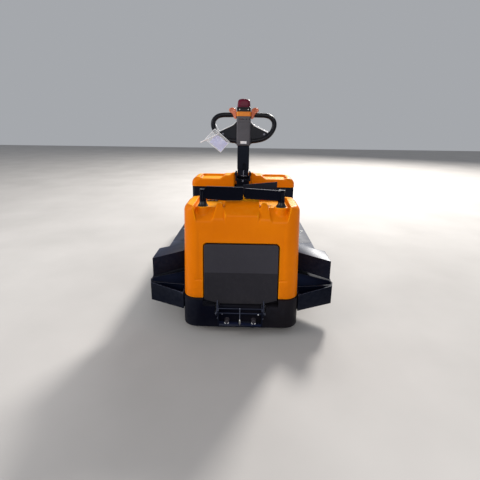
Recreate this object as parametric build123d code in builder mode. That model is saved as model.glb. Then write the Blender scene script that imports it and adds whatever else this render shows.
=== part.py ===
from build123d import *
import os
from math import atan, degrees, cos, sin, tan, radians

os.makedirs("parts", exist_ok=True)

# ---------------------------------------------------------------------------
# Electric platform cart, millimetres.  +X to the right of the operator,
# +Y from the operator's end to the far end of the deck, +Z up, floor at Z=0.
# Origin: bottom centre of the machine's own box.
# All stations along Y are written F + s, where s is the distance behind the
# front face of the drive hood.
# ---------------------------------------------------------------------------
F = -1070.5                 # Y of the drive hood's front face at its top
DECK_END = 2250.0           # station of the deck's far edge

# drive section
BODY_HALF = 350.0           # half width of drive hood and battery box
SKIRT_HALF = 353.0
SKIRT_FRONT, SKIRT_REAR = -62.0, 312.0
SKIRT_BOTTOM, SKIRT_TOP = 45.0, 225.0
SKIRT_R = 90.0
SKIRT_WALL = 6.0
FACE_TOP = 775.0            # level at which the front face stands at station 0
SHOULDER_TOP = 787.0
BAND_TOP = 797.0
HOOD_FOOT = -45.0           # front face at the hood's bottom edge
HOOD_REAR = 310.0
HOOD_R = 85.0
HOOD_WALL = 6.0
WELL_Z = 768.0              # sunk floor between the shoulders
BOSS_TOP, BOSS_R = 774.0, 38.0
RECESS_HALF, RECESS_TOP, RECESS_BACK = 227.0, 567.0, 33.0

# folding foot platform, leaning with the hood's front face
LEAN = degrees(atan(-HOOD_FOOT / (FACE_TOP - SKIRT_TOP)))
PLAT_HALF, PLAT_LEN, PLAT_T, MAT_T = 221.0, 372.0, 30.0, 5.0
PIVOT_S, PIVOT_Z, PIVOT_R = -88.0, 150.0, 6.0
BRK_HALF, BRK_FRONT, BRK_LOW, BRK_HIGH = 134.0, -111.0, 76.0, 214.0

# guard posts and arms
POST_X, POST_S, POST_R = 232.5, 63.0, 19.0
ARM_LOW, ARM_HIGH = 803.0, 876.0

# tiller
TIL_S, TIL_Z = 355.0, 930.0
TURRET_R = 38.5

# battery section
BAT_FRONT, BAT_REAR, BAT_LOW, BAT_TOP = 400.0, 630.0, 300.0, 832.0
LID_TOP, HUMP_TOP = 898.0, 931.0
LID_HINGE_S, LID_HINGE_Z = 643.0, 838.0

# deck
DECK_TOP, DECK_PLATE, DECK_LOW = 433.0, 6.0, 323.0
DECK_HALF, CUT_HALF, CUT_END = 500.0, 356.0, 648.0
NOSE_LOW, OUT_LOW, OUT_TOP = 299.0, 132.0, 256.0
NOSE_REAR = 412.0
RAIL_IN, RAIL_OUT, RAIL_LOW, RAIL_STEP = 303.0, 353.0, 225.0, 297.0

# running gear
DRIVE_S, DRIVE_R, DRIVE_W = 140.0, 110.0, 75.0
CAST_X, CAST_S, CAST_R, CAST_W, TRAIL = 255.0, 140.0, 50.0, 36.0, 34.0
LOAD_X, LOAD_S, LOAD_R, LOAD_W = 425.0, 1850.0, 125.0, 80.0
AXLE_R = 20.0

# ---------------------------------------------------------------------------
# drive skirt: black shell with rounded front corners and an inner top flange
# ---------------------------------------------------------------------------
skirt_mid = F + (SKIRT_FRONT + SKIRT_REAR) / 2
skirt_len = SKIRT_REAR - SKIRT_FRONT
with BuildPart() as drive_skirt:
    with BuildSketch(Plane.XY.offset(SKIRT_BOTTOM)) as sk_out:
        with Locations((0, skirt_mid)):
            Rectangle(2 * SKIRT_HALF, skirt_len)
        fillet(sk_out.vertices().group_by(Axis.Y)[0], SKIRT_R)
        fillet(sk_out.vertices().group_by(Axis.Y)[-1], 12)
    extrude(amount=SKIRT_TOP - SKIRT_BOTTOM)
    with BuildSketch(Plane.XY.offset(SKIRT_BOTTOM)) as sk_in:
        with Locations((0, skirt_mid)):
            Rectangle(2 * (SKIRT_HALF - SKIRT_WALL), skirt_len - 2 * SKIRT_WALL)
        fillet(sk_in.vertices().group_by(Axis.Y)[0], SKIRT_R - SKIRT_WALL)
    extrude(amount=SKIRT_TOP - SKIRT_BOTTOM - 6, mode=Mode.SUBTRACT)
    with BuildSketch(Plane.XY.offset(SKIRT_TOP - 7)) as sk_fl:
        with Locations((0, skirt_mid)):
            Rectangle(2 * (SKIRT_HALF - 26), skirt_len - 52)
        fillet(sk_fl.vertices().group_by(Axis.Y)[0], SKIRT_R - 26)
    extrude(amount=8, mode=Mode.SUBTRACT)
    # seat for the folded platform, closed by a shelf and a back wall
    with BuildSketch(Plane.XY.offset(182)):
        with Locations((0, F - 38)):
            Rectangle(2 * RECESS_HALF, 60)
    extrude(amount=50, mode=Mode.SUBTRACT)
    with BuildSketch(Plane.XY.offset(177)):
        with Locations((0, F - 29)):
            Rectangle(2 * RECESS_HALF + 8, 56)
    extrude(amount=5)
    with BuildSketch(Plane.XY.offset(177)):
        with Locations((0, F - 3)):
            Rectangle(2 * RECESS_HALF + 8, 5)
    extrude(amount=SKIRT_TOP - 177)
    # slots for the platform's two lugs
    with BuildSketch(Plane.XY.offset(132)):
        with Locations((-140, F - 44), (140, F - 44)):
            Rectangle(24, 48)
    extrude(amount=60, mode=Mode.SUBTRACT)
drive_skirt.part.label = "drive_skirt"
export_step(drive_skirt.part, "parts/drive_skirt.step")

# ---------------------------------------------------------------------------
# drive hood: moulded cover with a recess in front for the foot platform, two
# shoulders, a sunk floor between them, and in front of that floor two scoops,
# two ribs and a middle band.  Sections of what is cut away, station and Z:
# ---------------------------------------------------------------------------
scoop_cut = ((-80, 623), (65, WELL_Z), (250, WELL_Z), (250, 900), (-80, 900))
rib_cut = ((-80, 601), (45, 786), (75, 786), (88, WELL_Z), (250, WELL_Z), (250, 900), (-80, 900))
band_cut = ((-80, 633), (60, BAND_TOP), (250, BAND_TOP), (250, 900), (-80, 900))
cavity_cut = ((-80, 612), (80, 772), (80, 900), (-80, 900))
hood_skins = (
    # inset, z_low, z_high, edge radius, recess growth
    (0.0, SKIRT_TOP, SHOULDER_TOP, 26.0, 0.0),
    (HOOD_WALL, SKIRT_TOP - 10, WELL_Z - HOOD_WALL, 12.0, HOOD_WALL),
)
hood_bodies = []
for inset, z_low, z_high, edge_r, grow in hood_skins:
    with BuildPart() as skin:
        for z in (z_low, z_high):
            front = HOOD_FOOT * (FACE_TOP - z) / (FACE_TOP - SKIRT_TOP) + inset
            with BuildSketch(Plane.XY.offset(z)) as hs:
                with Locations((0, F + (front + HOOD_REAR - inset) / 2)):
                    Rectangle(2 * (BODY_HALF - inset) - (6 if z == z_high else 0),
                              HOOD_REAR - inset - front)
                fillet(hs.vertices().group_by(Axis.Y)[0], HOOD_R - inset)
                fillet(hs.vertices().group_by(Axis.Y)[-1], 26 - inset)
        loft()
        fillet(skin.faces().sort_by(Axis.Z)[-1].edges(), edge_r)
        with BuildSketch(Plane.XY.offset(z_low - 20)):
            with Locations((0, F + (RECESS_BACK + grow - 120) / 2)):
                Rectangle(2 * (RECESS_HALF + grow), 120 + RECESS_BACK + grow)
        extrude(amount=RECESS_TOP + grow - z_low + 20, mode=Mode.SUBTRACT)
        if grow:
            cuts = ((-400, 400, cavity_cut),)
        else:
            with BuildSketch(Plane.XY.offset(WELL_Z - 20)):
                with Locations((0, F + 150)):
                    Rectangle(204, 240)
            extrude(amount=BAND_TOP - WELL_Z + 20)
            cuts = ((-300, -158, scoop_cut), (-158, -102, rib_cut), (-102, 102, band_cut),
                    (102, 158, rib_cut), (158, 300, scoop_cut))
        for x0, x1, section in cuts:
            with BuildSketch(Plane.YZ.offset(x0)):
                with BuildLine():
                    Polyline(*[(F + s, z) for s, z in section], close=True)
                make_face()
            extrude(amount=x1 - x0, mode=Mode.SUBTRACT)
        if not grow:
            with BuildSketch(Plane.XY.offset(WELL_Z - 68)):
                for side in (-1, 1):
                    with Locations((side * POST_X, F + POST_S)):
                        Circle(BOSS_R)
            extrude(amount=BOSS_TOP - WELL_Z + 68)
    hood_bodies.append(skin.part)
with BuildPart() as drive_hood:
    add(hood_bodies[0])
    add(hood_bodies[1], mode=Mode.SUBTRACT)
drive_hood.part.label = "drive_hood"
export_step(drive_hood.part, "parts/drive_hood.step")

# ---------------------------------------------------------------------------
# drive frame: plate inside the hood that carries drive unit and casters
# ---------------------------------------------------------------------------
with BuildPart() as drive_frame:
    with BuildSketch(Plane.XY.offset(SKIRT_TOP)):
        with Locations((0, F + 169)):
            Rectangle(676, 250)
    extrude(amount=37)
    with BuildSketch(Plane.XY.offset(SKIRT_TOP)):
        with Locations((0, F + 169)):
            Rectangle(652, 226)
    extrude(amount=25, mode=Mode.SUBTRACT)
    with BuildSketch(Plane.XY.offset(216)):
        with Locations((-CAST_X, F + CAST_S), (CAST_X, F + CAST_S)):
            Circle(30)
    extrude(amount=40)
    with BuildSketch(Plane.XY.offset(210)):
        with Locations((-CAST_X, F + CAST_S), (CAST_X, F + CAST_S)):
            Circle(15.3)
        with Locations((0, F + DRIVE_S)):
            Circle(78)
    extrude(amount=60, mode=Mode.SUBTRACT)
drive_frame.part.label = "drive_frame"
export_step(drive_frame.part, "parts/drive_frame.step")

# ---------------------------------------------------------------------------
# side rails: channels open towards the middle, stepped under the battery box
# ---------------------------------------------------------------------------
RAIL_T = 8.0
RAIL_END = 2238.0
rail_sides = (
    # lower left corner X of the channel, pocket X
    (-RAIL_OUT, -RAIL_OUT + RAIL_T),
    (RAIL_IN, RAIL_IN - 1),
)
with BuildPart() as side_rails:
    for x0, x_pocket in rail_sides:
        with BuildSketch(Plane.YZ.offset(x0)):
            with BuildLine():
                Polyline(
                    (F + SKIRT_REAR, RAIL_LOW), (F + RAIL_END, RAIL_LOW),
                    (F + RAIL_END, DECK_TOP - DECK_PLATE), (F + 657, DECK_TOP - DECK_PLATE),
                    (F + 657, RAIL_STEP), (F + SKIRT_REAR, RAIL_STEP), close=True)
            make_face()
        extrude(amount=RAIL_OUT - RAIL_IN)
        with BuildSketch(Plane.YZ.offset(x_pocket)):
            with BuildLine():
                Polyline(
                    (F + SKIRT_REAR + RAIL_T, RAIL_LOW + RAIL_T), (F + RAIL_END - RAIL_T, RAIL_LOW + RAIL_T),
                    (F + RAIL_END - RAIL_T, DECK_TOP - DECK_PLATE - RAIL_T),
                    (F + 657 + RAIL_T, DECK_TOP - DECK_PLATE - RAIL_T),
                    (F + 657 + RAIL_T, RAIL_STEP - RAIL_T), (F + SKIRT_REAR + RAIL_T, RAIL_STEP - RAIL_T), close=True)
            make_face()
        extrude(amount=RAIL_OUT - RAIL_IN - RAIL_T + 1, mode=Mode.SUBTRACT)
side_rails.part.label = "side_rails"
export_step(side_rails.part, "parts/side_rails.step")

# ---------------------------------------------------------------------------
# cross members between the rails and deck bearers that also stand out
# beyond them; folded channels open at the bottom.
# Table: station, z low, z high, width along Y, outer stubs
# ---------------------------------------------------------------------------
bearer_table = (
    # station, z0, z1, wide, stubs
    (332.0, RAIL_LOW, RAIL_STEP, 40.0, False),
    (625.0, RAIL_LOW, RAIL_STEP, 40.0, False),
    (900.0, 367.0, DECK_TOP - DECK_PLATE, 50.0, True),
    (1300.0, 367.0, DECK_TOP - DECK_PLATE, 50.0, True),
    (1650.0, 367.0, DECK_TOP - DECK_PLATE, 50.0, True),
    (2050.0, 367.0, DECK_TOP - DECK_PLATE, 50.0, True),
    (2218.0, 330.0, DECK_TOP - DECK_PLATE, 40.0, True),
)
STUB_MID = (RAIL_OUT + DECK_HALF - DECK_PLATE) / 2
STUB_LEN = DECK_HALF - DECK_PLATE - RAIL_OUT
with BuildPart() as deck_bearers:
    for station, z0, z1, wide, stubs in bearer_table:
        spans = [(0.0, 2 * RAIL_IN)]
        if stubs:
            spans += [(-STUB_MID, STUB_LEN), (STUB_MID, STUB_LEN)]
        for xc, span in spans:
            with BuildSketch(Plane.XY.offset(z0)):
                with Locations((xc, F + station)):
                    Rectangle(span, wide)
            extrude(amount=z1 - z0)
            with BuildSketch(Plane.XY.offset(z0 - 1)):
                with Locations((xc, F + station)):
                    Rectangle(span - 10, wide - 12)
            extrude(amount=z1 - z0 - 5, mode=Mode.SUBTRACT)
deck_bearers.part.label = "deck_bearers"
export_step(deck_bearers.part, "parts/deck_bearers.step")

# ---------------------------------------------------------------------------
# deck plate with a notch round the battery section, and the edge strips
# that hang below it.  Table: centre X, front station, rear station, width X
# ---------------------------------------------------------------------------
with BuildPart() as deck_plate:
    with BuildSketch(Plane.XY.offset(DECK_TOP - DECK_PLATE)):
        with BuildLine():
            Polyline(
                (DECK_HALF, F + NOSE_REAR), (DECK_HALF, F + DECK_END), (-DECK_HALF, F + DECK_END),
                (-DECK_HALF, F + NOSE_REAR), (-CUT_HALF, F + NOSE_REAR), (-CUT_HALF, F + CUT_END),
                (CUT_HALF, F + CUT_END), (CUT_HALF, F + NOSE_REAR), close=True)
        make_face()
    extrude(amount=DECK_PLATE)
deck_plate.part.label = "deck_plate"
export_step(deck_plate.part, "parts/deck_plate.step")

edge_table = (
    # x centre, s front, s rear, width
    (-DECK_HALF + 3, NOSE_REAR, DECK_END, 6.0),
    (DECK_HALF - 3, NOSE_REAR, DECK_END, 6.0),
    (0.0, DECK_END - 6, DECK_END, 2 * DECK_HALF - 16),
    (-CUT_HALF - 3, NOSE_REAR, CUT_END, 6.0),
    (CUT_HALF + 3, NOSE_REAR, CUT_END, 6.0),
    (0.0, CUT_END, CUT_END + 6, 590.0),
)
with BuildPart() as deck_edges:
    for xc, s0, s1, wide in edge_table:
        with BuildSketch(Plane.XY.offset(DECK_LOW)):
            with Locations((xc, F + (s0 + s1) / 2)):
                Rectangle(wide, s1 - s0)
        extrude(amount=DECK_TOP - DECK_PLATE - DECK_LOW)
deck_edges.part.label = "deck_edges"
export_step(deck_edges.part, "parts/deck_edges.step")

# ---------------------------------------------------------------------------
# deck noses (upper tier) and outriggers (lower tier), one pair each
# ---------------------------------------------------------------------------
nose_outer = ((563, 91.7), (557, 250), (500, 291.8), (500, NOSE_REAR - 0.2), (356, NOSE_REAR - 0.2), (356, 268))
nose_inner = ((556, 107), (550, 246), (493, 288), (493, NOSE_REAR - 7), (363, NOSE_REAR - 7), (363, 271))
out_outer = ((353, -8), (583, 97), (598, 150), (590, 183), (353, 364))
out_front = ((361, 6), (566, 100), (566, 107), (361, 107))
out_rear = ((361, 121), (581, 121), (588, 150), (580, 179), (361, 346))
out_plate = ((353, 350), (592, 168), (596, 196), (590, 262), (353, 440))
# the upper edges rise a little from the rails outwards
def out_height(x):
    return 238.0 + (x - 353.0) * 16.0 / 245.0


with BuildPart() as deck_noses:
    for side in (-1, 1):
        with BuildSketch(Plane.XY.offset(NOSE_LOW)):
            with BuildLine():
                Polyline(*[(side * x, F + s) for x, s in nose_outer], close=True)
            make_face()
        extrude(amount=DECK_TOP - NOSE_LOW)
        with BuildSketch(Plane.XY.offset(NOSE_LOW - 1)):
            with BuildLine():
                Polyline(*[(side * x, F + s) for x, s in nose_inner], close=True)
            make_face()
        extrude(amount=415 - NOSE_LOW + 1, mode=Mode.SUBTRACT)
    # top strips that slope down towards the slanted front edges
    for side in (-1, 1):
        edge_x, edge_s = side * (563 - 356), 91.7 - 268
        edge_len = (edge_x ** 2 + edge_s ** 2) ** 0.5
        across = Plane(origin=(side * 356 - edge_x, F + 268 - edge_s, DECK_TOP),
                       x_dir=(side * edge_s / edge_len, -abs(edge_x) / edge_len, 0),
                       z_dir=(edge_x / edge_len, edge_s / edge_len, 0))
        with BuildSketch(across):
            with BuildLine():
                corner = 1 if across.y_dir.Z > 0 else -1
                Polyline((-107, 0), (30, -11 * 137 / 107 * corner), (30, 12 * corner), (-107, 12 * corner), close=True)
            make_face()
        extrude(amount=2 * edge_len, mode=Mode.SUBTRACT)
deck_noses.part.label = "deck_noses"
export_step(deck_noses.part, "parts/deck_noses.step")

with BuildPart() as outriggers:
    for side in (-1, 1):
        with BuildSketch(Plane.XY.offset(OUT_LOW)):
            with BuildLine():
                Polyline(*[(side * x, F + s) for x, s in out_outer], close=True)
            make_face()
        extrude(amount=OUT_TOP - OUT_LOW)
        for pocket in (out_front, out_rear):
            with BuildSketch(Plane.XY.offset(OUT_LOW + 8)):
                with BuildLine():
                    Polyline(*[(side * x, F + s) for x, s in pocket], close=True)
                make_face()
            extrude(amount=OUT_TOP - OUT_LOW, mode=Mode.SUBTRACT)
        with BuildSketch(Plane.XZ.offset(-F + 20)):
            with BuildLine():
                Polyline(*[(side * x, z) for x, z in ((350, out_height(350)), (600, out_height(600)), (600, 262), (350, 262))],
                         close=True)
            make_face()
        extrude(amount=-500, mode=Mode.SUBTRACT)
        # closing plate behind the pockets
        with BuildPart(mode=Mode.PRIVATE) as closing:
            with BuildSketch(Plane.XZ.offset(-F - 160)):
                with BuildLine():
                    Polyline(*[(side * x, z) for x, z in ((353, out_height(353)), (600, out_height(600)),
                                                          (600, out_height(600) - 6), (353, out_height(353) - 6))], close=True)
                make_face()
            extrude(amount=-290)
            with BuildSketch(Plane.XY.offset(220)):
                with BuildLine():
                    Polyline(*[(side * x, F + s) for x, s in out_plate], close=True)
                make_face()
            extrude(amount=50, mode=Mode.INTERSECT)
        add(closing.part)
outriggers.part.label = "outriggers"
export_step(outriggers.part, "parts/outriggers.step")

# ---------------------------------------------------------------------------
# bulkhead between the hoods, with the bore that the tiller turns in
# ---------------------------------------------------------------------------
with BuildPart() as bulkhead:
    with BuildSketch(Plane.XY.offset(RAIL_STEP)):
        with Locations((0, F + TIL_S)):
            Rectangle(680, 78)
    extrude(amount=700 - RAIL_STEP)
    fillet(bulkhead.faces().sort_by(Axis.Z)[-1].edges().filter_by(Axis.Y), 30)
    with BuildSketch(Plane.XY.offset(RAIL_STEP - 1)):
        with Locations((0, F + TIL_S)):
            Rectangle(668, 66)
    extrude(amount=660 - RAIL_STEP + 1, mode=Mode.SUBTRACT)
    with BuildSketch(Plane.XY.offset(655)):
        with Locations((0, F + TIL_S)):
            Rectangle(600, 66)
    extrude(amount=37, mode=Mode.SUBTRACT)
    with BuildSketch(Plane.XY.offset(582)):
        with Locations((0, F + TIL_S)):
            Circle(33.5)
    extrude(amount=115)
    with BuildSketch(Plane.XY.offset(590)):
        with Locations((0, F + TIL_S)):
            Circle(25)
    extrude(amount=120, mode=Mode.SUBTRACT)
bulkhead.part.label = "bulkhead"
export_step(bulkhead.part, "parts/bulkhead.step")

# ---------------------------------------------------------------------------
# battery box, battery and hinged lid
# ---------------------------------------------------------------------------
hinge_xs = (-220.0, 220.0)
with BuildPart() as battery_box:
    with BuildSketch(Plane.XY.offset(BAT_LOW)) as bs:
        with Locations((0, F + (BAT_FRONT + BAT_REAR) / 2)):
            Rectangle(2 * BODY_HALF, BAT_REAR - BAT_FRONT)
        fillet(bs.vertices(), 22)
    extrude(amount=BAT_TOP - BAT_LOW)
    with BuildSketch(Plane.XY.offset(BAT_LOW + 6)) as bs2:
        with Locations((0, F + (BAT_FRONT + BAT_REAR) / 2)):
            Rectangle(2 * BODY_HALF - 12, BAT_REAR - BAT_FRONT - 12)
        fillet(bs2.vertices(), 16)
    extrude(amount=BAT_TOP, mode=Mode.SUBTRACT)
    # outer knuckles and pin of both hinges
    for hx in hinge_xs:
        for x0, wide in ((hx - 33, 17), (hx + 16, 17)):
            with BuildSketch(Plane.YZ.offset(x0)):
                with Locations((F + LID_HINGE_S, LID_HINGE_Z)):
                    Circle(7.5)
                with Locations((F + LID_HINGE_S - 5, LID_HINGE_Z - 15)):
                    Rectangle(17, 20)
            extrude(amount=wide)
        with BuildSketch(Plane.YZ.offset(hx - 33)):
            with Locations((F + LID_HINGE_S, LID_HINGE_Z)):
                Circle(4)
        extrude(amount=66)
battery_box.part.label = "battery_box"
export_step(battery_box.part, "parts/battery_box.step")

with BuildPart() as battery:
    with BuildSketch(Plane.XY.offset(BAT_LOW + 6)):
        with Locations((0, F + (BAT_FRONT + BAT_REAR) / 2)):
            Rectangle(660, 204)
    extrude(amount=470)
battery.part.label = "battery"
export_step(battery.part, "parts/battery.step")

LID_FRONT, LID_REAR = 396.0, 634.0
with BuildPart() as battery_lid:
    with BuildSketch(Plane.XY.offset(BAT_TOP + 1)) as ls:
        with Locations((0, F + (LID_FRONT + LID_REAR) / 2)):
            Rectangle(2 * BODY_HALF + 4, LID_REAR - LID_FRONT)
        fillet(ls.vertices(), 34)
    extrude(amount=LID_TOP - BAT_TOP - 1)
    fillet(battery_lid.faces().sort_by(Axis.Z)[-1].edges(), 24)
    # centre hump round the tiller
    with BuildSketch(Plane.XZ.offset(-F - LID_REAR + 14)):
        with BuildLine():
            Polyline((-146, LID_TOP - 15), (146, LID_TOP - 15), (122, 912), (94, 914), (72, HUMP_TOP), (-72, HUMP_TOP),
                     (-94, 914), (-122, 912), close=True)
        make_face()
    extrude(amount=LID_REAR - LID_FRONT - 16)
    # the hump falls off towards the hinges
    with BuildSketch(Plane.YZ.offset(-200)):
        with BuildLine():
            Polyline((F + LID_FRONT + 6, HUMP_TOP), (F + LID_REAR, 903), (F + LID_REAR, HUMP_TOP + 20),
                     (F + LID_FRONT + 6, HUMP_TOP + 20), close=True)
        make_face()
    extrude(amount=400, mode=Mode.SUBTRACT)
    # storage trays
    with BuildSketch(Plane.XY.offset(LID_TOP - 26)):
        for side in (-1, 1):
            with Locations((side * 218, F + 512)):
                RectangleRounded(156, 176, 16)
    extrude(amount=40, mode=Mode.SUBTRACT)
    # hollow underside
    with BuildSketch(Plane.XY.offset(BAT_TOP)):
        with Locations((0, F + (LID_FRONT + LID_REAR) / 2)):
            RectangleRounded(2 * BODY_HALF - 8, LID_REAR - LID_FRONT - 12, 26)
    extrude(amount=18, mode=Mode.SUBTRACT)
    # relief for the tiller's foot
    with BuildSketch(Plane.XY.offset(BAT_TOP)):
        with Locations((0, F + TIL_S)):
            Circle(71)
    extrude(amount=120, mode=Mode.SUBTRACT)
    # middle knuckles
    for hx in hinge_xs:
        with BuildSketch(Plane.YZ.offset(hx - 15)):
            with Locations((F + LID_HINGE_S, LID_HINGE_Z)):
                Circle(7.5)
            with Locations((F + LID_HINGE_S - 6, LID_HINGE_Z + 3)):
                Rectangle(12, 9)
        extrude(amount=30)
        with BuildSketch(Plane.YZ.offset(hx - 16)):
            with Locations((F + LID_HINGE_S, LID_HINGE_Z)):
                Circle(4.08)
        extrude(amount=32, mode=Mode.SUBTRACT)
battery_lid.part.label = "battery_lid"
export_step(battery_lid.part, "parts/battery_lid.step")

# ---------------------------------------------------------------------------
# platform bracket: side plates, base plate, pivot rod and stop rod
# ---------------------------------------------------------------------------
with BuildPart() as platform_bracket:
    for x0 in (-BRK_HALF, BRK_HALF - 8):
        with BuildSketch(Plane.YZ.offset(x0)):
            with BuildLine():
                Polyline((F + SKIRT_FRONT, BRK_LOW), (F + BRK_FRONT, BRK_LOW),
                         (F + BRK_FRONT, BRK_HIGH - 34), (F + BRK_FRONT + 20, BRK_HIGH - 20),
                         (F + SKIRT_FRONT, BRK_HIGH - 20), close=True)
            make_face()
        extrude(amount=8)
    with BuildSketch(Plane.XY.offset(BRK_LOW)):
        with Locations((0, F + (BRK_FRONT + SKIRT_FRONT) / 2)):
            Rectangle(2 * BRK_HALF, SKIRT_FRONT - BRK_FRONT)
    extrude(amount=8)
    for s, z, r, half in ((PIVOT_S, PIVOT_Z, PIVOT_R, 147.0), (-96.0, 186.0, 4.5, 134.0)):
        with BuildSketch(Plane.YZ.offset(-half)):
            with Locations((F + s, z)):
                Circle(r)
        extrude(amount=2 * half)
platform_bracket.part.label = "platform_bracket"
export_step(platform_bracket.part, "parts/platform_bracket.step")

with BuildPart() as bracket_buffers:
    with BuildSketch(Plane.XZ.offset(-F - SKIRT_FRONT)):
        with Locations((-80, 99), (80, 99)):
            Circle(13.5)
    extrude(amount=28)
    fillet(bracket_buffers.faces().filter_by(Axis.Y).group_by(Axis.Y)[0].edges(), 5)
bracket_buffers.part.label = "bracket_buffers"
export_step(bracket_buffers.part, "parts/bracket_buffers.step")

with BuildPart() as return_strut:
    for z0, z1, r in ((84.0, 124.0, 5.5), (124.0, 196.0, 2.8)):
        with BuildSketch(Plane.XY.offset(z0)):
            with Locations((-2, F - 104.5)):
                Circle(r)
        extrude(amount=z1 - z0)
return_strut.part.label = "return_strut"
export_step(return_strut.part, "parts/return_strut.step")

# ---------------------------------------------------------------------------
# foot platform, folded up: sketched on the plane of its outer face
# ---------------------------------------------------------------------------
lean = radians(LEAN)
face_plane = Plane(origin=(0, F - 50, 190), x_dir=(1, 0, 0), z_dir=(0, -cos(lean), sin(lean)))
with BuildPart() as foot_platform:
    with BuildSketch(face_plane) as fp:
        with BuildLine():
            Polyline((-PLAT_HALF, PLAT_LEN), (PLAT_HALF, PLAT_LEN), (PLAT_HALF, 27), (130, 0), (-130, 0), (-PLAT_HALF, 27),
                     close=True)
        make_face()
        fillet(fp.vertices().group_by(Axis.Z)[-1], 20)
    extrude(amount=-PLAT_T)
    # tray pockets on the hood side, left and right of a middle rib
    with BuildSketch(face_plane.offset(-5)):
        with Locations((-(PLAT_HALF - 2) / 2, PLAT_LEN / 2), ((PLAT_HALF - 2) / 2, PLAT_LEN / 2)):
            RectangleRounded(PLAT_HALF - 12, PLAT_LEN - 60, 24)
    extrude(amount=-PLAT_T, mode=Mode.SUBTRACT)
    for x0 in (-144.0, 136.0):
        with BuildSketch(Plane.YZ.offset(x0)):
            with BuildLine():
                Polyline((F - 98, 158), (F - 97, 141), (F - 77, 143), (F - 50, 184),
                         (F - 21, 190), (F - 20, 215), (F - 46, 215), (F - 56, 193), close=True)
            make_face()
            with Locations((F + PIVOT_S, PIVOT_Z)):
                Circle(13)
        extrude(amount=8)
        with BuildSketch(Plane.YZ.offset(x0 - 1)):
            with Locations((F + PIVOT_S, PIVOT_Z)):
                Circle(PIVOT_R + 0.08)
        extrude(amount=10, mode=Mode.SUBTRACT)
foot_platform.part.label = "foot_platform"
export_step(foot_platform.part, "parts/foot_platform.step")

with BuildPart() as platform_mat:
    with BuildSketch(face_plane.offset(-PLAT_T)) as pm:
        with BuildLine():
            Polyline((-PLAT_HALF + 5, PLAT_LEN - 6), (PLAT_HALF - 5, PLAT_LEN - 6), (PLAT_HALF - 5, 31), (128, 5), (-128, 5),
                     (-PLAT_HALF + 5, 31), close=True)
        make_face()
        fillet(pm.vertices().group_by(Axis.Z)[-1], 15)
    extrude(amount=-MAT_T)
platform_mat.part.label = "platform_mat"
export_step(platform_mat.part, "parts/platform_mat.step")

# ---------------------------------------------------------------------------
# guard posts and swinging guard arms with their pads.
# Outline of each arm in X (from the post towards the middle) and Z.
# ---------------------------------------------------------------------------
arm_tables = {
    # side: (arm outline), (pad outline)
    "left": (((8, 829), (8, 871), (24, 895), (238, 891), (240.5, 887), (240.5, 833), (232, 823), (150, 816), (26, 818)),
             ((44, 824), (44, 887), (232, 884), (232, 834), (150, 824))),
    "right": (((8, 818), (8, 871), (22, 875), (219.5, 886), (219.5, 830), (22, 818)),
              ((44, 826), (44, 869), (212, 880), (212, 835))),
}
with BuildPart() as guard_posts:
    for side in (-1, 1):
        for z0, r0, z1, r1 in ((BOSS_TOP, 30, BOSS_TOP + 9, 29), (BOSS_TOP + 9, 28, ARM_LOW - 1, 20)):
            with BuildSketch(Plane.XY.offset(z0)):
                with Locations((side * POST_X, F + POST_S)):
                    Circle(r0)
            with BuildSketch(Plane.XY.offset(z1)):
                with Locations((side * POST_X, F + POST_S)):
                    Circle(r1)
            loft()
        with BuildSketch(Plane.XY.offset(ARM_LOW - 2)):
            with Locations((side * POST_X, F + POST_S)):
                Circle(10)
        extrude(amount=ARM_HIGH - ARM_LOW - 6)
guard_posts.part.label = "guard_posts"
export_step(guard_posts.part, "parts/guard_posts.step")

for side, tag in ((-1, "left"), (1, "right")):
    arm_out, pad_out = arm_tables[tag]
    with BuildPart() as arm:
        with BuildSketch(Plane.XY.offset(ARM_LOW)):
            with Locations((side * POST_X, F + POST_S)):
                Circle(POST_R)
        extrude(amount=ARM_HIGH - ARM_LOW)
        with BuildSketch(Plane.XZ.offset(-F - POST_S + 14)):
            with BuildLine():
                Polyline(*[(side * (POST_X - x), z) for x, z in arm_out], close=True)
            make_face()
        extrude(amount=8)
        with BuildSketch(Plane.XY.offset(ARM_LOW - 1)):
            with Locations((side * POST_X, F + POST_S)):
                Circle(10.08)
        extrude(amount=ARM_HIGH - ARM_LOW - 4, mode=Mode.SUBTRACT)
    arm.part.label = "guard_arm_" + tag
    export_step(arm.part, "parts/guard_arm_" + tag + ".step")

    with BuildPart() as pad:
        with BuildSketch(Plane.XZ.offset(-F - POST_S - 6)):
            with BuildLine():
                Polyline(*[(side * (POST_X - x), z) for x, z in pad_out], close=True)
            make_face()
        extrude(amount=20)
    pad.part.label = "guard_pad_" + tag
    export_step(pad.part, "parts/guard_pad_" + tag + ".step")

# ---------------------------------------------------------------------------
# slanted plate behind the right arm, on two feet on the hood
# ---------------------------------------------------------------------------
with BuildPart() as document_plate:
    with BuildSketch(Plane.XZ.offset(-F - 207)):
        with BuildLine():
            Polyline((2, 824), (217, 820), (217, 903), (2, 881), close=True)
        make_face()
    extrude(amount=4)
    for x0 in (8.0, 70.0):
        with BuildSketch(Plane.YZ.offset(x0)):
            with BuildLine():
                Polyline((F + 207, BAND_TOP), (F + 236, BAND_TOP), (F + 236, BAND_TOP + 4),
                         (F + 211, BAND_TOP + 4), (F + 211, 850), (F + 207, 850), close=True)
            make_face()
        extrude(amount=24)
document_plate.part.label = "document_plate"
export_step(document_plate.part, "parts/document_plate.step")

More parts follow.
